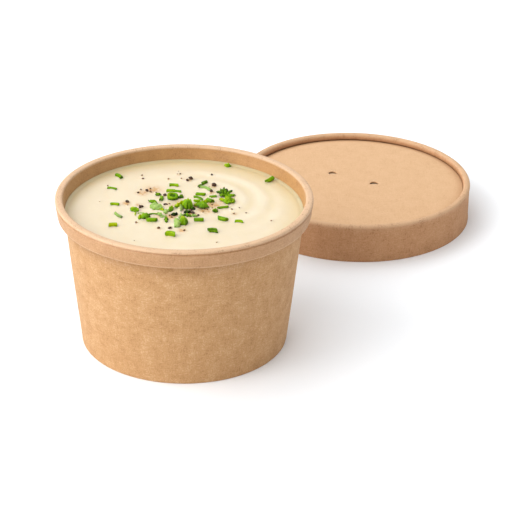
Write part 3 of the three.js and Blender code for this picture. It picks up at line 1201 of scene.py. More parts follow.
@dataclass(frozen=True)
class Blade:
    """A leaf piece.

    Attributes:
        x, y: its place from the cup's axis.
        turn, roll, pitch: its angles in degrees, about Z, about its length and nose up.
        length, width, dome: its size and how far its middle stands up.
        shade: its main colour.
        other: how much the tone changes towards one end or side, and the weights of the end and the side; on
            the large pieces it paints a lit top and a shaded front.
        lobes, ragged: how many lobes its edges have and how deep they are.
        heart: how much paler its middle is than its edge.
        vein: how much lighter its middle line is.
        round: whether it swells like a mound instead of folding along its middle.
    """

    x: float
    y: float
    turn: float
    length: float
    width: float
    roll: float = 0.0
    dome: float = 0.8
    shade: Shade = Shade.MID
    pitch: float = 0.0
    other: tuple[float, float, float] = (0.0, 0.0, 1.0)
    lobes: int = 2
    ragged: float = 0.1
    heart: float = 0.0
    vein: float = 0.14
    round: bool = False


@dataclass(frozen=True)
class Leaflet:
    """A leaflet of the sprig: its bearing in degrees, length, width, rise in degrees and shade."""

    bearing: float
    length: float
    width: float
    rise: float
    shade: Shade


@dataclass(frozen=True)
class Grain:
    """A grain of pepper: its place from the cup's axis and its diameter."""

    x: float
    y: float
    diameter: float


CHIVES = (
    Snip(-31.5, 33.1, -50, 4.2, 1.8, Shade.MID),
    Snip(-33.7, 20.0, -16, 4.4, 1.3, Shade.MID),
    Snip(-31.3, 2.7, -3, 3.8, 1.4, Shade.LIME),
    Snip(-28.9, -8.0, -53, 5.4, 1.4, Shade.GREY),
    Snip(-30.6, -18.7, 10, 3.6, 2.0, Shade.YELLOW),
    Snip(-4.8, -27.4, -14, 3.8, 2.5, Shade.LIME),
    Snip(13.3, -23.0, -2, 4.0, 2.5, Shade.DARK),
    Snip(17.2, -10.8, -24, 4.5, 2.0, Shade.MID),
    Snip(24.5, -12.7, -4, 3.5, 1.6, Shade.LIME),
    Snip(17.3, 1.8, 20, 5.0, 1.4, Shade.MID),
    Snip(6.8, -12.1, 4, 4.3, 1.9, Shade.MID),
    Snip(38.0, 31.2, 38, 4.2, 1.9, Shade.MID, 14),
    Snip(-5.8, 24.3, -3, 4.1, 1.6, Shade.LIME),
    Snip(-6.9, 18.4, 2, 3.8, 1.7, Shade.LIME),
    Snip(-3.9, 18.0, -6, 3.4, 1.3, Shade.DEEP),
    Snip(-13.9, -13.1, 4, 4.5, 1.9, Shade.MID),
    Snip(6.8, 15.1, -6, 4.1, 1.5, Shade.MID),
    Snip(5.8, 11.0, -38, 5.2, 1.3, Shade.DEEP),
    Snip(5.4, 7.8, 8, 2.9, 1.5, Shade.LIME),
    Snip(11.1, 8.0, -32, 3.3, 1.9, Shade.MID),
    Snip(12.5, 13.1, 20, 3.0, 1.3, Shade.MID),
    Snip(8.1, 27.4, 48, 3.6, 1.7, Shade.DARK),
    Snip(6.0, 23.8, 62, 2.2, 1.4, Shade.DEEP),
    Snip(8.8, 21.4, -40, 6.4, 1.5, Shade.GREY),
    Snip(-13.6, -6.4, 6, 4.0, 0.8, Shade.DEEP),
    Snip(-19.1, -5.6, 6, 2.8, 0.6, Shade.GREY),
    Snip(-10.9, 9.6, 82, 3.5, 1.7, Shade.MID),
)
LEAVES = (
    Blade(-22.1, -2.7, -28, 4.6, 3.6, 8, 1.4, Shade.MID, lobes=1, ragged=0.08, vein=0.3),
    Blade(-21.5, -6.4, 84, 3.2, 0.8, 0, 0.4, Shade.YELLOW),
    Blade(-16.9, -9.9, 66, 4.2, 3.4, -8, 1.7, Shade.MID, other=(0.3, 0, 1), round=True),
    Blade(-19.3, -10.4, 80, 3.2, 1.6, -10, 0.9, Shade.YELLOW),
    Blade(-14.4, 5.8, -32, 5.4, 1.9, 14, 0.9, Shade.DARK, other=(0.3, 1, 0)),
    Blade(-12.7, 0.7, -24, 6.4, 5.4, 12, 0.7, Shade.WET, heart=0.75),
    Blade(-9.9, -2.0, -20, 2.4, 1.4, 0, 0.6, Shade.YELLOW),
    Blade(-12.4, 13.8, 22, 3.0, 1.8, 0, 0.9, Shade.DEEP, lobes=3, ragged=0.35),
    Blade(-7.6, -12.4, 96, 4.6, 1.9, 12, 1.2, Shade.DEEP, pitch=10, vein=0.35),
    Blade(-6.0, -1.7, 66, 4.6, 2.2, -14, 1.4, Shade.DEEP, pitch=8, other=(0.3, 1, 0)),
    Blade(-8.1, -3.6, 84, 4.8, 2.2, 0, 0.8, Shade.WET, ragged=0.25),
    Blade(-3.1, 2.6, 56, 5.4, 2.0, 10, 1.0, Shade.LIME, lobes=4, ragged=0.3, other=(0.25, 1, 0)),
    Blade(-1.2, 5.0, 50, 4.0, 1.8, 0, 1.2, Shade.YELLOW, ragged=0.2),
    Blade(1.2, 1.7, 24, 4.9, 5.4, 0, 3.5, Shade.LIME, -4, other=(-0.25, 0, -1), ragged=0.05, round=True),
    Blade(-1.2, -0.6, 86, 5.0, 1.5, -20, 1.8, Shade.WET),
    # These two near-black pieces lie where the big mound's shade falls and partly stand for that shade.
    Blade(1.7, -4.2, 8, 4.0, 1.8, 0, 0.9, Shade.BLACK, lobes=3, ragged=0.25),
    Blade(3.9, -0.9, 30, 2.4, 1.6, 0, 1.2, Shade.BLACK),
    Blade(-4.2, -6.9, 12, 3.2, 2.2, 10, 1.0, Shade.BLACK, lobes=3, ragged=0.2),
    Blade(1.2, -7.4, -16, 5.0, 2.2, 10, 0.9, Shade.DARK, lobes=3, ragged=0.25, vein=0.4),
    Blade(4.6, -8.0, 8, 3.2, 1.3, 0, 0.7, Shade.GREY, ragged=0.2),
    Blade(-10.4, -7.2, -42, 4.2, 1.9, 0, 0.8, Shade.GREY, lobes=3, ragged=0.35),
    Blade(-9.0, -8.8, 28, 3.2, 1.8, 0, 0.6, Shade.WET, ragged=0.3),
    Blade(-1.4, -8.4, 70, 4.2, 2.0, 0, 0.8, Shade.WET, ragged=0.25),
    Blade(-2.5, -15.9, 92, 7.4, 3.0, -6, 1.4, Shade.WET, ragged=0.12, round=True),
    Blade(-2.8, -19.2, 6, 2.0, 1.1, 0, 0.5, Shade.MID),
    Blade(0.2, -15.1, -6, 4.1, 4.4, 0, 2.8, Shade.YELLOW, 4, other=(-0.5, 0.4, -1), ragged=0.06, round=True),
    Blade(8.0, 1.9, 100, 6.0, 5.0, 12, 1.8, Shade.DEEP, lobes=3, ragged=0.22, other=(0.15, 1, 0)),
    Blade(5.4, 3.6, 60, 3.6, 2.2, 0, 0.9, Shade.LIME, lobes=3, ragged=0.3),
    Blade(8.9, 6.6, 12, 3.0, 1.8, 0, 1.2, Shade.YELLOW, ragged=0.2),
    Blade(13.8, -2.8, -18, 2.8, 2.2, 0, 1.2, Shade.DEEP, lobes=3, ragged=0.35),
    Blade(19.2, 7.5, 96, 5.0, 4.6, 8, 1.7, Shade.LIME, lobes=3, ragged=0.22, other=(-0.35, -1, 0)),
    Blade(19.6, 11.0, -8, 3.8, 1.5, 14, 1.2, Shade.LIME),
    Blade(21.8, 8.0, 82, 3.6, 1.4, 0, 1.2, Shade.LIME),
    Blade(16.4, 9.4, -56, 3.6, 1.9, 0, 0.8, Shade.YELLOW, ragged=0.3),
    Blade(18.4, 46.9, 6, 3.4, 2.1, 6, 1.4, Shade.LIME, lobes=1, ragged=0.25),
    # This dark piece beside the ring partly stands for the shade there.
    Blade(-2.2, 11.6, 24, 3.0, 2.2, 0, 0.9, Shade.DARK, lobes=1, ragged=0.2),
)
LEAFLETS = (
    Leaflet(8, 5.0, 2.0, 8, Shade.LIME),
    Leaflet(40, 4.8, 1.9, 24, Shade.MID),
    Leaflet(72, 4.4, 1.8, 40, Shade.MID),
    Leaflet(96, 5.0, 1.9, 40, Shade.MID),
    Leaflet(122, 4.8, 2.0, 34, Shade.MID),
    Leaflet(154, 4.6, 1.8, 20, Shade.DEEP),
    Leaflet(-40, 3.0, 1.8, 10, Shade.LIME),
    Leaflet(-150, 2.8, 1.6, 12, Shade.LIME),
)
PEPPER = (
    Grain(12.5, 25.3, 2.1), Grain(11.6, 18.5, 1.5), Grain(1.6, 31.7, 1.9), Grain(0.2, 29.9, 1.3),
    Grain(11.1, 37.0, 1.2), Grain(-9.4, 13.6, 1.5), Grain(-8.9, 3.9, 1.4), Grain(-8.1, 4.0, 1.3),
    Grain(-19.8, 0.4, 1.6), Grain(-18.9, 1.2, 1.3), Grain(-17.8, 17.9, 1.4), Grain(-21.6, 15.9, 1.1),
    Grain(-25.9, 5.8, 1.5), Grain(-5.6, -20.4, 1.6), Grain(-1.8, 13.8, 1.1), Grain(3.9, -4.6, 1.7),
    Grain(6.3, -7.1, 1.3), Grain(2.7, -2.2, 1.4),
)
CRUMBS = (
    Grain(-20.9, 34.8, 0.9), Grain(-20.4, 31.4, 1.0), Grain(-8.6, 31.4, 0.9), Grain(-3.4, 37.4, 1.0),
    Grain(-4.8, 37.2, 0.6), Grain(-2.7, 32.0, 0.8), Grain(-20.6, 19.2, 0.9), Grain(-16.3, 20.4, 1.0),
    Grain(-16.0, 17.0, 1.1), Grain(-13.4, 16.4, 0.8), Grain(-35.9, 23.0, 0.9), Grain(-20.6, -15.5, 1.0),
    Grain(-10.5, -20.6, 1.2), Grain(21.1, 0.0, 1.0), Grain(24.5, 1.8, 0.7), Grain(38.8, -11.3, 0.8),
    Grain(-38.3, 5.7, 0.6), Grain(22.1, -4.3, 0.9), Grain(0.7, -22.5, 1.1), Grain(27.6, -3.5, 0.8),
    Grain(-4.4, 40.4, 0.5), Grain(-7.0, 4.6, 0.8), Grain(12.5, 1.0, 0.8), Grain(10.2, -1.0, 0.9),
    Grain(10.4, 24.0, 0.6), Grain(-25.4, 2.6, 0.6), Grain(15.2, -33.6, 0.7), Grain(17.7, -38.3, 0.5),
    Grain(-5.4, -9.4, 1.0), Grain(-6.4, -7.4, 0.9), Grain(4.4, 3.4, 1.1), Grain(12.2, 4.4, 0.8),
    Grain(-20.4, -33.2, 0.5), Grain(8.4, -3.4, 0.8),
)


@dataclass
class Garnish:
    """The herbs and pepper that lie part sunk in the soup.

    Attributes:
        soup: the soup that they lie in.
        seed: starts the draws, which follow the order of the pieces.
        chive_sides, chive_stations, chive_wall, chive_sink: a slice's faces round and along, its wall as a
            share of its radius, and the share of its width that is sunk.
        leaf_thickness, leaf_rows, leaf_columns, leaf_sink: a leaf's mesh and how deep it lies.
        leaf_wave, leaf_crinkle, leaf_border: its waves, its creases and its darker border, a painted shade
            along its edges.
        leaf_roof, mound_roof: how a folded leaf and a mound fall off to their edges.
        ring_at, ring_radius, ring_wall, ring_hollow, ring_height, ring_lean, ring_sink: the slice on end.
        sprig_at: the point from which the sprig's leaflets fan out.
        grain_sink, grain_scale, grain_stretch: how deep a grain lies, its size and the limits of its form.
    """

    soup: Soup
    seed: int = 11
    chive_sides: int = 16
    chive_stations: int = 8
    chive_wall: float = 0.384
    chive_sink: float = 0.2
    leaf_thickness: float = 0.4
    leaf_rows: int = 14
    leaf_columns: int = 10
    leaf_wave: float = 0.25
    leaf_roof: float = 1.5
    mound_roof: float = 3.6
    leaf_crinkle: float = 0.8
    leaf_border: float = 0.3
    leaf_sink: float = 0.35
    ring_at: tuple[float, float] = (-5.7, 10.6)
    ring_radius: float = 2.4
    ring_wall: float = 1.15
    ring_hollow: float = 0.5
    ring_height: float = 2.4
    ring_lean: float = 20.0
    ring_sink: float = 0.5
    sprig_at: tuple[float, float] = (17.7, 14.0)
    grain_sink: float = 0.14
    grain_scale: float = 1.12
    grain_stretch: Sequence[tuple[float, float]] = ((0.85, 1.15), (0.8, 1.0), (0.7, 0.95))

    def __post_init__(self) -> None:
        """Starts the seeded draws and tells the soup where its pieces lie."""
        self.draw = random.Random(self.seed)
        self.soup.pieces = [
            *((snip.x, snip.y, snip.width / 2) for snip in CHIVES),
            *((blade.x, blade.y, blade.width / 2) for blade in LEAVES),
            *((grain.x, grain.y, grain.diameter / 2) for grain in PEPPER + CRUMBS),
            (*self.ring_at, self.ring_radius),
        ]

    def lay(
        self, surface: Surface, x: float, y: float, turn: float, roll: float, sink: float, pitch: float = 0
    ) -> Surface:
        """Lays a shape, made along +X about the origin, with its lowest point sunk in the soup.

        Args:
            surface: the shape.
            x, y: its place from the cup's axis.
            turn, roll: its angles in degrees, about Z and about its own length.
            sink: how deep its lowest point goes.
            pitch: how many degrees its +X end is raised.

        Returns:
            The shape in place.
        """
        tilt = Matrix.Rotation(math.radians(turn), 3, "Z") @ Matrix.Rotation(math.radians(-pitch), 3, "Y")
        tilt = tilt @ Matrix.Rotation(math.radians(roll), 3, "X")
        surface.moved((0, 0, 0), tilt)
        level = float(self.soup.height(np.array(x), np.array(y)))
        down = surface.corners[:, 2].min() + sink
        rim = self.soup.cup.rim
        return surface.moved((rim.x + x, rim.y + y, level - down))

    def chive(self, snip: Snip) -> Surface:
        """Makes one slice of chive: a hollow, slightly flattened and bent tube with slanted cuts.

        Args:
            snip: the slice.

        Returns:
            Its surface in place.
        """
        radius, half = snip.width / 2, snip.length / 2
        hollow = radius * (1 - self.chive_wall)
        edge = radius * 0.14
        outer = straight((radius, edge - half), (radius, half - edge), self.chive_stations)
        inner = straight((hollow, half - edge), (hollow, edge - half), self.chive_stations)
        near, far = hollow + edge, radius - edge
        section = [(near, -half), (far, -half), *outer, (far, half), (near, half), *inner]
        tube = revolve(section, self.chive_sides)
        tube.board = []
        x, y, z = tube.corners.T
        around = np.arctan2(y, x)
        inside = 1 - smoothstep(np.hypot(x, y), hollow, hollow + edge)
        slants = self.draw.uniform(-0.6, 0.6), self.draw.uniform(-0.6, 0.6)
        slant = np.where(z > 0, slants[0], slants[1]) * x * smoothstep(np.abs(z) / half, 0.3, 1.0)
        ribs = 1 + 0.06 * np.cos(5 * around) + 0.06 * np.sin(2 * around + z)
        bow = self.draw.uniform(-0.1, 0.1) * snip.length * (1 - (z / half) ** 2)
        squash = self.draw.uniform(0.8, 1.0)
        tube.corners = np.stack([z + slant, x * ribs + bow, y * ribs * squash], 1)
        tone, wet = snip.shade.value
        shift = self.draw.uniform(-0.06, 0.06)
        fade = self.draw.uniform(-0.14, 0.14) * z / half
        ribbed = 0.14 * np.cos(5 * around) - 0.16 * smoothstep(np.abs(z) / half, 0.75, 1.0)
        tube.value("tone", np.clip(tone + shift + fade + ribbed + 0.2 * inside, 0, 1))
        tube.value("wet", np.clip(wet + 0.1 * inside, 0, 1))
        roll = self.draw.uniform(-25, 25)
        return self.lay(tube, snip.x, snip.y, snip.turn, roll, snip.width * self.chive_sink, snip.pitch)

    def ring(self) -> Surface:
        """Makes the slice that stands on end, hollow like a cut stalk, and returns it in place."""
        outside, wall, height = self.ring_radius, self.ring_wall, self.ring_height
        edge, floor = 0.2, height - self.ring_hollow
        inside = outside - wall
        section = [
            (0.0, 0.0), (outside - 0.35, 0.0), (outside - 0.05, 0.3), (outside + 0.08, height / 2),
            (outside, height - edge), (outside - edge, height), (inside + edge, height),
            (inside, height - edge), *straight((inside, height - 0.3), (inside - 0.1, floor + 0.2), 3),
            (inside - 0.3, floor), (inside / 2, floor), (0.0, floor),
        ]
        ring = revolve(section, 48, closed=False)
        ring.board = []
        x, y, z = ring.corners.T
        around = np.arctan2(y, x)
        within = smoothstep(np.hypot(x, y), inside + 0.1, inside - 0.05) * (z > floor - 0.1)
        ring.corners = np.stack([
            x * (1 + 0.05 * np.sin(2 * around + 0.5) + 0.02 * np.sin(9 * around)),
            y * (0.85 + 0.03 * np.sin(3 * around)),
            z + 0.15 * np.sin(3 * around) - 0.12 * x * z / height,
        ], 1)
        # Painted light and shade: lighter towards the top of the lip, darker on one side and inside the
        # hollow.
        lip = smoothstep(z, height * 0.55, height)
        across = (x - 0.5 * y) / outside
        ring.value("tone", np.clip(0.2 + 0.55 * lip - 0.2 * across - 0.35 * within - 0.12, -0.5, 1))
        ring.value("wet", 0.0)
        return self.lay(ring, *self.ring_at, 0, self.ring_lean, self.ring_sink)

    def blade(self, blade: Blade) -> Surface:
        """Makes one leaf piece: a thin domed and wavy solid whose two faces carry the same quads.

        Args:
            blade: the piece.

        Returns:
            Its surface in place.
        """
        rows, columns = self.leaf_rows, self.leaf_columns
        lengthways, sideways = np.linspace(0, 1, rows + 1), np.linspace(-1, 1, columns + 1)
        along, over = np.meshgrid(lengthways, sideways, indexing="ij")
        ends = np.abs(2 * along - 1)
        phase = self.draw.uniform(0, 2 * math.pi)
        mound = 0.55 + 0.45 * (1 - ends ** 4) ** 0.6
        pointed = 0.2 + 0.8 * (1 - ends ** 2.4) ** 0.7
        swell = mound if blade.round else pointed
        lobes = 1 + blade.ragged * np.sin(2 * math.pi * blade.lobes * along + phase + np.sign(over))
        lobes += 0.1 * np.sin(17 * along + 2 * phase) * np.sign(over)
        half = blade.width / 2 * swell * lobes
        cut = 0.1 * blade.length * np.abs(over) ** 2 * np.where(along > 0.5, -1, 1) * ends ** 3
        roof = self.mound_roof if blade.round else self.leaf_roof
        dome = blade.dome * (1 - 0.95 * np.abs(over) ** roof) * (1 - 0.8 * ends ** roof)
        wave = self.leaf_wave * np.sin(2.2 * math.pi * along + phase) * over
        flat = np.stack([(along - 0.5) * blade.length + cut, over * half, np.full_like(along, phase)], -1)
        creases = np.array([[noise.noise(Vector(point)) for point in row] for row in flat])
        middle = flat.copy()
        middle[..., 2] = dome + wave + self.leaf_crinkle * creases
        middle = middle.reshape(-1, 3)
        thick = self.leaf_thickness * (1 - 0.55 * np.abs(over) ** 3).reshape(-1)
        lift = np.stack([np.zeros_like(thick), np.zeros_like(thick), thick / 2], 1)
        count, across = len(middle), columns + 1
        faces = []
        for row in range(rows):
            for column in range(columns):
                a = row * across + column
                b = a + across
                faces.append((count + a, count + b, count + b + 1, count + a + 1))
                faces.append((a, a + 1, b + 1, b))
        edge = [row * across for row in range(rows + 1)]
        edge += [rows * across + column for column in range(1, columns + 1)]
        edge += [row * across + columns for row in range(rows - 1, -1, -1)]
        edge += [column for column in range(columns - 1, 0, -1)]
        faces += [(b, a, count + a, count + b) for a, b in zip(edge, edge[1:] + edge[:1])]
        leaf = Surface(np.concatenate([middle - lift, middle + lift]), faces)
        tone, wet = blade.shade.value
        # Painted light and shade in the tone: darker towards the border, lighter where the crinkles stand
        # higher, and through other a lit top and a shaded front.
        vein = blade.vein * np.exp(-((over / 0.14) ** 2)) + 0.1 * np.sin(3 * math.pi * along + phase) * over
        vein = vein - self.leaf_border * np.maximum(np.abs(over), ends) ** 5
        far = blade.other[0] * smoothstep(along * blade.other[1] + over * blade.other[2], -0.1, 0.5)
        patch = np.tile((tone + vein + far + 0.5 * creases).reshape(-1), 2)
        leaf.value("tone", np.clip(patch + self.draw.uniform(-0.05, 0.05), -0.5, 1))
        pale = wet - blade.heart * np.maximum(np.abs(over), ends) ** 6
        leaf.value("wet", np.clip(np.tile(pale.reshape(-1), 2), 0, 1))
        return self.lay(leaf, blade.x, blade.y, blade.turn, blade.roll, self.leaf_sink, blade.pitch)

    def sprig(self) -> list[Surface]:
        """Makes the parsley sprig's leaflets, which rise and fan out from one point."""
        made = []
        for leaflet in LEAFLETS:
            bearing, rise = math.radians(leaflet.bearing), math.radians(leaflet.rise)
            reach = leaflet.length / 2 * math.cos(rise)
            x = self.sprig_at[0] + reach * math.cos(bearing)
            y = self.sprig_at[1] + reach * math.sin(bearing)
            made.append(self.blade(Blade(
                x, y, leaflet.bearing, leaflet.length, leaflet.width, self.draw.uniform(-20, 20), 0.7,
                leaflet.shade, leaflet.rise, other=(-0.3, 1, 0), ragged=0.2, lobes=3,
            )))
        return made

    def grain(self, grain: Grain, crack: float) -> Surface:
        """Makes one cracked grain: a wrinkled ball with flat broken sides.

        Args:
            grain: the grain.
            crack: how much of it shows the tan kernel, 0 to 1.

        Returns:
            Its surface in place.
        """
        ball = bmesh.new()
        bmesh.ops.create_icosphere(ball, subdivisions=3, radius=1.0)
        corners = np.array([corner.co[:] for corner in ball.verts])
        faces = [tuple(corner.index for corner in face.verts) for face in ball.faces]
        ball.free()
        shift = Vector([self.draw.uniform(-50, 50) for _ in range(3)])
        wrinkles = np.array([noise.noise(Vector(c) * 2.2 + shift) for c in corners])
        corners = corners * (1 + 0.22 * wrinkles)[:, None]
        kernel = np.zeros(len(corners))
        for _ in range(3):
            normal = np.array([self.draw.gauss(0, 1) for _ in range(3)])
            normal /= np.linalg.norm(normal)
            beyond = np.maximum(corners @ normal - self.draw.uniform(0.45, 0.85), 0)
            corners -= beyond[:, None] * normal
            kernel = np.maximum(kernel, (beyond > 0) * self.draw.uniform(0, 1))
        stretch = np.array([self.draw.uniform(*limits) for limits in self.grain_stretch])
        made = Surface(corners * stretch * grain.diameter * self.grain_scale / 2, faces)
        made.value("crack", np.clip(kernel * crack + max(crack - 0.6, 0), 0, 1))
        turn, sink = self.draw.uniform(0, 360), grain.diameter * self.grain_sink
        return self.lay(made, grain.x, grain.y, turn, 0, sink)

    def build(self, herb: bpy.types.Material, pepper: bpy.types.Material) -> list[bpy.types.Object]:
        """Builds all the garnish.

        Args:
            herb: the herbs' material.
            pepper: the pepper's material.

        Returns:
            One object for each kind of piece.
        """
        return [
            joined([self.chive(snip) for snip in CHIVES]).to_object("chive_slices", [herb]),
            self.ring().to_object("chive_ring", [herb]),
            joined([self.blade(blade) for blade in LEAVES]).to_object("leaf_pieces", [herb], crease=70),
            joined(self.sprig()).to_object("parsley_sprig", [herb], crease=70),
            joined([self.grain(grain, 0.2) for grain in PEPPER]).to_object("pepper_grains", [pepper]),
            joined([self.grain(grain, 0.75) for grain in CRUMBS]).to_object("pepper_crumbs", [pepper]),
        ]


@dataclass
class Lid:
    """The lid: its skirt with the rounded bead on top, and the sunk panel with two pressed vent holes.

    Attributes:
        ring: the frame's ring node. All sizes are in millimetres and bearings in degrees.
        skirt, edge_round: the skirt's thickness and the rounding of its lower edge.
        bead_width, bead_flatness, bead_drop, curl, crevice: the bead, and the slot between it and the panel.
        panel_depth, panel_thickness, panel_gap, edge_dip, edge_slope: the panel, which dips at its edge.
        ledge_reach, ledge_thickness, seat_gap: the ledge that carries it.
        highlight_from, bead_highlight: how far down the bead the painted highlight reaches, and how strong it
            is.
        shade_bearing, shade_close, shade_wide, wide_slopes: the painted shade along the panel's edge: where
            it is darkest, its least and added strength close to the edge and further in, and how far in.
        crevice_shade, vent_shade: how dark the painted shade makes the slot and the far half of each vent's
            edge.
        vents, vent_radius: the vent holes' places from the lid's axis and their radius.
        flap_gap, flap_thickness, flap_drop, flap_lean, flap_offset: the small rounds left in the vents.
        segments: faces round.
        seam_bearing, seam_width, seam_step: the glued overlap.
    """

    ring: Round
    skirt: float = 1.0
    edge_round: float = 0.4
    bead_width: float = 3.4
    panel_depth: float = 2.8
    panel_thickness: float = 0.6
    panel_gap: float = 0.3
    edge_dip: float = 0.6
    edge_slope: float = 1.9
    ledge_reach: float = 2.2
    ledge_thickness: float = 0.7
    seat_gap: float = 0.1
    bead_flatness: float = 0.8
    bead_drop: float = 2.8
    curl: float = 0.25
    crevice: float = 1.5
    shade_bearing: float = 125.0
    shade_close: tuple[float, float] = (0.4, 0.7)
    shade_wide: tuple[float, float] = (0.15, 0.4)
    wide_slopes: float = 2.6
    crevice_shade: float = 0.8
    vent_shade: float = 1.4
    highlight_from: float = 2.4
    bead_highlight: float = 0.8
    vent_radius: float = 2.1
    flap_gap: float = 0.35
    flap_thickness: float = 0.45
    flap_drop: float = 0.4
    flap_lean: float = -11.0
    flap_offset: tuple[float, float] = (0.1, -0.25)
    vents: Sequence[tuple[float, float]] = ((-11.3, 10.4), (9.7, -1.7))
    seam_bearing: float = 95.0
    seam_width: float = 8.0
    seam_step: float = 0.25
    segments: int = 288

    def section(self) -> Profile:
        """Gives the ring's section, anticlockwise from the inside of the skirt's edge."""
        top, radius = self.ring.height, self.ring.radius
        half, edge = self.bead_width / 2, self.edge_round
        inside = radius - self.skirt
        bead_inside = radius - self.bead_width
        ledge = top - self.panel_depth - self.panel_thickness - self.seat_gap
        reach = bead_inside - self.ledge_reach
        return [
            *arc((inside + edge, edge), edge, 180, 270, 3),
            *arc((radius - edge, edge), edge, -90, 0, 4),
            *straight((radius - 0.12, 3.0), (radius - 0.12, top - half - 2.0), 6),
            *shoulder((radius - half, top - half), half, half, self.bead_flatness, 22),
            *arc((bead_inside + self.curl, top - self.bead_drop), self.curl, 180, 300, 5),
            (bead_inside + self.crevice, top - self.bead_drop),
            (bead_inside + self.crevice, ledge),
            (reach, ledge),
            (reach, ledge - self.ledge_thickness),
            *straight((inside, ledge - self.ledge_thickness), (inside, 1.0), 5),
        ]

    def shaped(self, angles: np.ndarray, radius: float, height: float) -> np.ndarray:
        """Gives a ring of the skirt its glued overlap at the back.

        Args:
            angles: the ring's angles.
            radius, height: where the ring is on the section.

        Returns:
            The ring's radii.
        """
        outside = radius > self.ring.radius - 0.15 and 0.5 < height < self.ring.height - self.bead_width
        if not outside:
            return np.full(len(angles), radius)
        past = np.mod(angles - math.radians(self.seam_bearing), 2 * math.pi) * radius
        inner = self.seam_step * smoothstep(past, self.seam_width - 0.8, self.seam_width + 0.8)
        return radius - np.where(past < 2 * math.pi * radius - 0.5, inner * 0.4, 0)

    def build_ring(self, finish: bpy.types.Material) -> bpy.types.Object:
        """Builds the skirt and bead.

        Args:
            finish: the lid's board.

        Returns:
            The ring's object.
        """
        surface = revolve(self.section(), self.segments, self.shaped)
        top = self.ring.height
        x, y, z = surface.corners.T
        # Painted highlight on the top of the bead, and painted shade in the slot between the bead and the
        # panel.
        surface.value("painted_highlight", self.bead_highlight * smoothstep(z, top - self.highlight_from, top - 0.3))
        hidden = (np.hypot(x, y) < self.ring.radius - self.skirt - 0.1) & (z < top - self.bead_drop + 0.1)
        surface.value("shade", self.crevice_shade * hidden * (z > top - self.panel_depth - 1))
        surface.moved((self.ring.x, self.ring.y, 0))
        return surface.to_object("lid_ring_board", [finish])

    def panel_relief(self, x: np.ndarray, y: np.ndarray) -> np.ndarray:
        """Gives the panel's slight dome, its waves and the pressed dish round each vent.

        Args:
            x, y: places from the lid's axis.

        Returns:
            Heights over the panel's level.
        """
        reach = np.hypot(x, y) / self.ring.radius
        relief = 0.12 * (1 - reach ** 2) + 0.05 * np.sin(x / 9 + 1) * np.cos(y / 11)
        edge = (self.ring.radius - self.bead_width - self.panel_gap) / self.ring.radius
        relief = relief - self.edge_dip * smoothstep(reach, edge - self.edge_slope / self.ring.radius, edge)
        for vx, vy in self.vents:
            away = np.hypot(x - vx, y - vy) - self.vent_radius
            relief = relief - 0.1 * np.exp(-((away / 0.6) ** 2)) + 0.05 * np.exp(-(((away - 1.5) / 0.8) ** 2))
        return relief

    def build_panel(self, finish: bpy.types.Material) -> bpy.types.Object:
        """Builds the panel with its vents: rings of quads round each vent, joined to a plain grid.

        Args:
            finish: the lid's board.

        Returns:
            The panel's object.
        """
        radius = self.ring.radius - self.bead_width - self.panel_gap
        top = self.ring.height - self.panel_depth
        flat = self._panel_outline(radius)
        count = len(flat.corners)
        x, y = flat.corners[:, 0], flat.corners[:, 1]
        relief = self.panel_relief(x, y)
        upper = np.stack([x, y, top + relief], 1)
        lower = np.stack([x, y, top - self.panel_thickness + np.maximum(relief, 0)], 1)
        faces = [tuple(face) for face in flat.faces]
        faces += [tuple(count + corner for corner in reversed(face)) for face in flat.faces]
        used = {(a, b) for face in flat.faces for a, b in zip(face, face[1:] + face[:1])}
        faces += [(b, a, count + a, count + b) for a, b in used if (b, a) not in used]
        surface = Surface(np.concatenate([upper, lower]), faces)
        surface.board = [tuple(surface.corners[corner][:2]) for face in faces for corner in face]
        # Painted shade: darker along the panel's edge, most towards the back left where the bead's shadow
        # falls, and on the far half of each vent's edge.
        reach = np.tile(np.hypot(x, y), 2)
        toward = np.tile(np.cos((np.arctan2(y, x) - math.radians(self.shade_bearing)) / 2) ** 2, 2)
        shade = np.zeros_like(reach)
        for (least, added), slopes in ((self.shade_close, 1.0), (self.shade_wide, self.wide_slopes)):
            shade += (least + added * toward) * smoothstep(reach, radius - slopes * self.edge_slope, radius)
        for vx, vy in self.vents:
            at_edge = np.abs(np.hypot(x - vx, y - vy) - self.vent_radius) < 0.05
            far_half = smoothstep((y - vy - 0.4 * (x - vx)) / self.vent_radius, -0.4, 0.4)
            shade += np.tile(self.vent_shade * at_edge * far_half, 2)
        surface.value("shade", shade)
        surface.moved((self.ring.x, self.ring.y, 0))
        return surface.to_object("lid_panel_board", [finish], crease=50)

    def _panel_outline(self, radius: float) -> Surface:
        """Lays a disc with round holes out flat, as triangles.

        Args:
            radius: the disc's radius.

        Returns:
            The flat disc, its faces anticlockwise seen from above.
        """
        def circle(cx: float, cy: float, r: float, count: int) -> list[Vector]:
            """Gives points round a circle."""
            turns = [2 * math.pi * i / count for i in range(count)]
            return [Vector((cx + r * math.cos(t), cy + r * math.sin(t))) for t in turns]

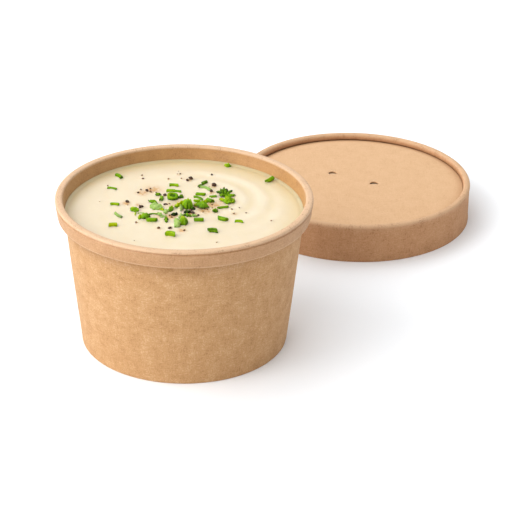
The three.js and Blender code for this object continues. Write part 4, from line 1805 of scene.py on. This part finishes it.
        points: list[Vector] = []
        edges: list[tuple[int, int]] = []
        loops = [(0.0, 0.0, radius, 180)] + [(vx, vy, self.vent_radius, 40) for vx, vy in self.vents]
        for loop in loops:
            first = len(points)
            points += circle(*loop)
            edges += [(first + i, first + (i + 1) % loop[3]) for i in range(loop[3])]
        for vx, vy in self.vents:
            for step in range(1, 10):
                points += circle(vx, vy, self.vent_radius + 0.3 * step, 40)
        for ring in range(int(radius / 2)):
            reach = 2.0 * ring
            for point in circle(0, 0, reach, max(1, int(3 * reach))):
                if all((point - Vector(vent)).length > self.vent_radius + 3.5 for vent in self.vents):
                    points.append(point)
        corners, _, faces, *_ = delaunay_2d_cdt(points, edges, [], 0, 1e-5)
        flat = np.array([(corner.x, corner.y, 0.0) for corner in corners])
        kept = []
        for face in faces:
            middle = flat[list(face)].mean(0)[:2]
            if all(math.dist(middle, vent) > self.vent_radius for vent in self.vents):
                kept.append(tuple(face))
        return Surface(flat, kept)

    def build_flaps(self, finish: bpy.types.Material) -> bpy.types.Object:
        """Builds the small round of board that the punch left hanging in each vent.

        Args:
            finish: the lid's board.

        Returns:
            The flaps' object.
        """
        top = self.ring.height - self.panel_depth
        flaps = []
        for vx, vy in self.vents:
            radius, under = self.vent_radius - self.flap_gap, -self.flap_thickness
            flap = revolve([(0.0, under), (radius, under), (radius, 0.0), (0.0, 0.0)], 36, closed=False)
            flat = flap.corners[:, :2] + (vx, vy)
            flap.board = [tuple(flat[corner]) for face in flap.faces for corner in face]
            # The flaps are painted paler all over, a painted highlight.
            flap.value("painted_highlight", 1.0)
            flap.moved((0, 0, 0), Matrix.Rotation(math.radians(self.flap_lean), 3, "X"))
            across, back = self.flap_offset
            place = self.ring.x + vx + across, self.ring.y + vy + back, top - self.flap_drop
            flaps.append(flap.moved(place))
        return joined(flaps).to_object("vent_flaps", [finish])


@dataclass(frozen=True)
class SoftBox:
    """A large soft light.

    Attributes:
        name: the light's name.
        bearing: where it stands round the object, in degrees anticlockwise from the right.
        elevation: how high it stands, in degrees.
        power: its power in watts.
    """

    name: str
    bearing: float
    elevation: float
    power: float


@dataclass(frozen=True)
class Studio:
    """The pale floor, soft lights, strongest from the front left, and the camera, in metres and degrees."""

    eye: tuple[float, float, float] = (-0.0098, -0.895, 0.4536)
    pitch: float = 26.56
    roll: float = math.degrees(0.017)
    focal_pixels: float = 2047.18
    image_pixels: float = 512.0
    sensor: float = 36.0
    floor_half: float = 4.0
    floor_colour: Colour = (0.912, 0.932, 0.954, 1)
    sky: float = 0.3
    box_size: float = 1.7
    box_distance: float = 1.6
    boxes: Sequence[SoftBox] = (
        SoftBox("left", 190, 30, 18.1),
        SoftBox("front_left", 225, 24, 12.9),
        SoftBox("high_front_left", 225, 50, 11.8),
        SoftBox("high_back_left", 135, 50, 7.6),
        SoftBox("high_back", 90, 50, 10.0),
        SoftBox("right", 0, 20, 8.7),
    )

    def build(self, target: Vector) -> None:
        """Sets up everything around the object.

        Args:
            target: the point that the lights face.
        """
        self._floor()
        for box in self.boxes:
            self._light(box, target)
        self._sky()
        self._camera()
        bpy.context.scene.view_settings.view_transform = "Standard"
        bpy.context.scene.view_settings.look = "None"

    def _floor(self) -> None:
        """Lays the floor."""
        half = self.floor_half
        mesh = bpy.data.meshes.new("floor")
        corners = [(-half, -half, 0), (half, -half, 0), (half, half, 0), (-half, half, 0)]
        mesh.from_pydata(corners, [], [(0, 1, 2, 3)])
        finish, sheet, shader = new_finish("floor")
        sheet.feed(shader, {"Base Color": self.floor_colour, "Roughness": 0.9, "Specular IOR Level": 0.1})
        mesh.materials.append(finish)
        floor = bpy.data.objects.new("floor", mesh)
        bpy.context.scene.collection.objects.link(floor)

    def _light(self, box: SoftBox, target: Vector) -> None:
        """Hangs one soft light and turns it to the object.

        Args:
            box: the light.
            target: the point that it faces.
        """
        light = bpy.data.lights.new(box.name, "AREA")
        light.energy = box.power
        light.size = self.box_size
        lamp = bpy.data.objects.new(box.name, light)
        bpy.context.scene.collection.objects.link(lamp)
        bearing, elevation = math.radians(box.bearing), math.radians(box.elevation)
        level = math.cos(elevation)
        direction = Vector((level * math.cos(bearing), level * math.sin(bearing), math.sin(elevation)))
        lamp.location = target + direction * self.box_distance
        lamp.rotation_euler = direction.to_track_quat("Z", "Y").to_euler()

    def _sky(self) -> None:
        """Fills the room with even white light."""
        world = bpy.data.worlds.new("studio")
        world.use_nodes = True
        background = world.node_tree.nodes["Background"]
        background.inputs["Color"].default_value = (1, 1, 1, 1)
        background.inputs["Strength"].default_value = self.sky
        bpy.context.scene.world = world

    def _camera(self) -> None:
        """Puts the camera at the photograph's viewing angle."""
        data = bpy.data.cameras.new("camera")
        data.sensor_width = self.sensor
        data.lens = self.focal_pixels * self.sensor / self.image_pixels
        data.clip_end = 50
        camera = bpy.data.objects.new("camera", data)
        bpy.context.scene.collection.objects.link(camera)
        tilt = Matrix.Rotation(math.radians(90 - self.pitch), 4, "X")
        roll = Matrix.Rotation(math.radians(self.roll), 4, "Z")
        camera.matrix_world = Matrix.Translation(self.eye) @ (tilt @ roll)
        bpy.context.scene.camera = camera


def settle(piece: bpy.types.Object, slot: str, *nodes: str) -> None:
    """Makes a piece ride on the container, hides the CAD nodes that it replaces, and logs it with its slot.

    Args:
        piece: the piece.
        slot: its material slot, which is only logged.
        *nodes: the CAD nodes that it replaces.
    """
    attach(piece, BODY)
    if nodes:
        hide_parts(*nodes)
    LOG.info("%s: %d faces, slot %s", piece.name, len(piece.data.polygons), slot)


def main() -> None:
    """Builds the container piece by piece around the frame."""
    logging.basicConfig(level=logging.INFO, format="%(name)s %(message)s")
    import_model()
    fibres = BoardFibres().group()
    outer, inner, rim = (finish.material(fibres) for finish in (CUP_BOARD, INNER_BOARD, RIM_BOARD))
    panel, skirt = (finish.material(fibres) for finish in (PANEL_BOARD, SHADED_SKIRT_BOARD))

    cup = Cup(Round.of_node("cup_wall"))
    settle(cup.build_wall([outer, inner, rim]), "kraft_board", "cup_wall")
    settle(cup.build_base(outer), "kraft_board", "cup_base")

    soup = Soup(cup)
    garnish = Garnish(soup)
    settle(soup.build(SoupFinish().material()), "cream_soup", "soup")
    for piece in garnish.build(HerbFinish().material(), PepperFinish().material()):
        settle(piece, "pepper" if piece.name.startswith("pepper") else "green_herbs", "soup")

    lid = Lid(Round.of_node("lid_ring"))
    settle(lid.build_ring(skirt), "lid_board", "lid_ring")
    settle(lid.build_panel(panel), "lid_board", "lid_panel")
    settle(lid.build_flaps(panel), "lid_board", "lid_panel")

    aim = (cup.rim.x + lid.ring.x) / 4, (cup.rim.y + lid.ring.y) / 4, cup.rim.height / 2
    Studio().build(Vector(aim) * MM)


if __name__ == "__main__":
    main()
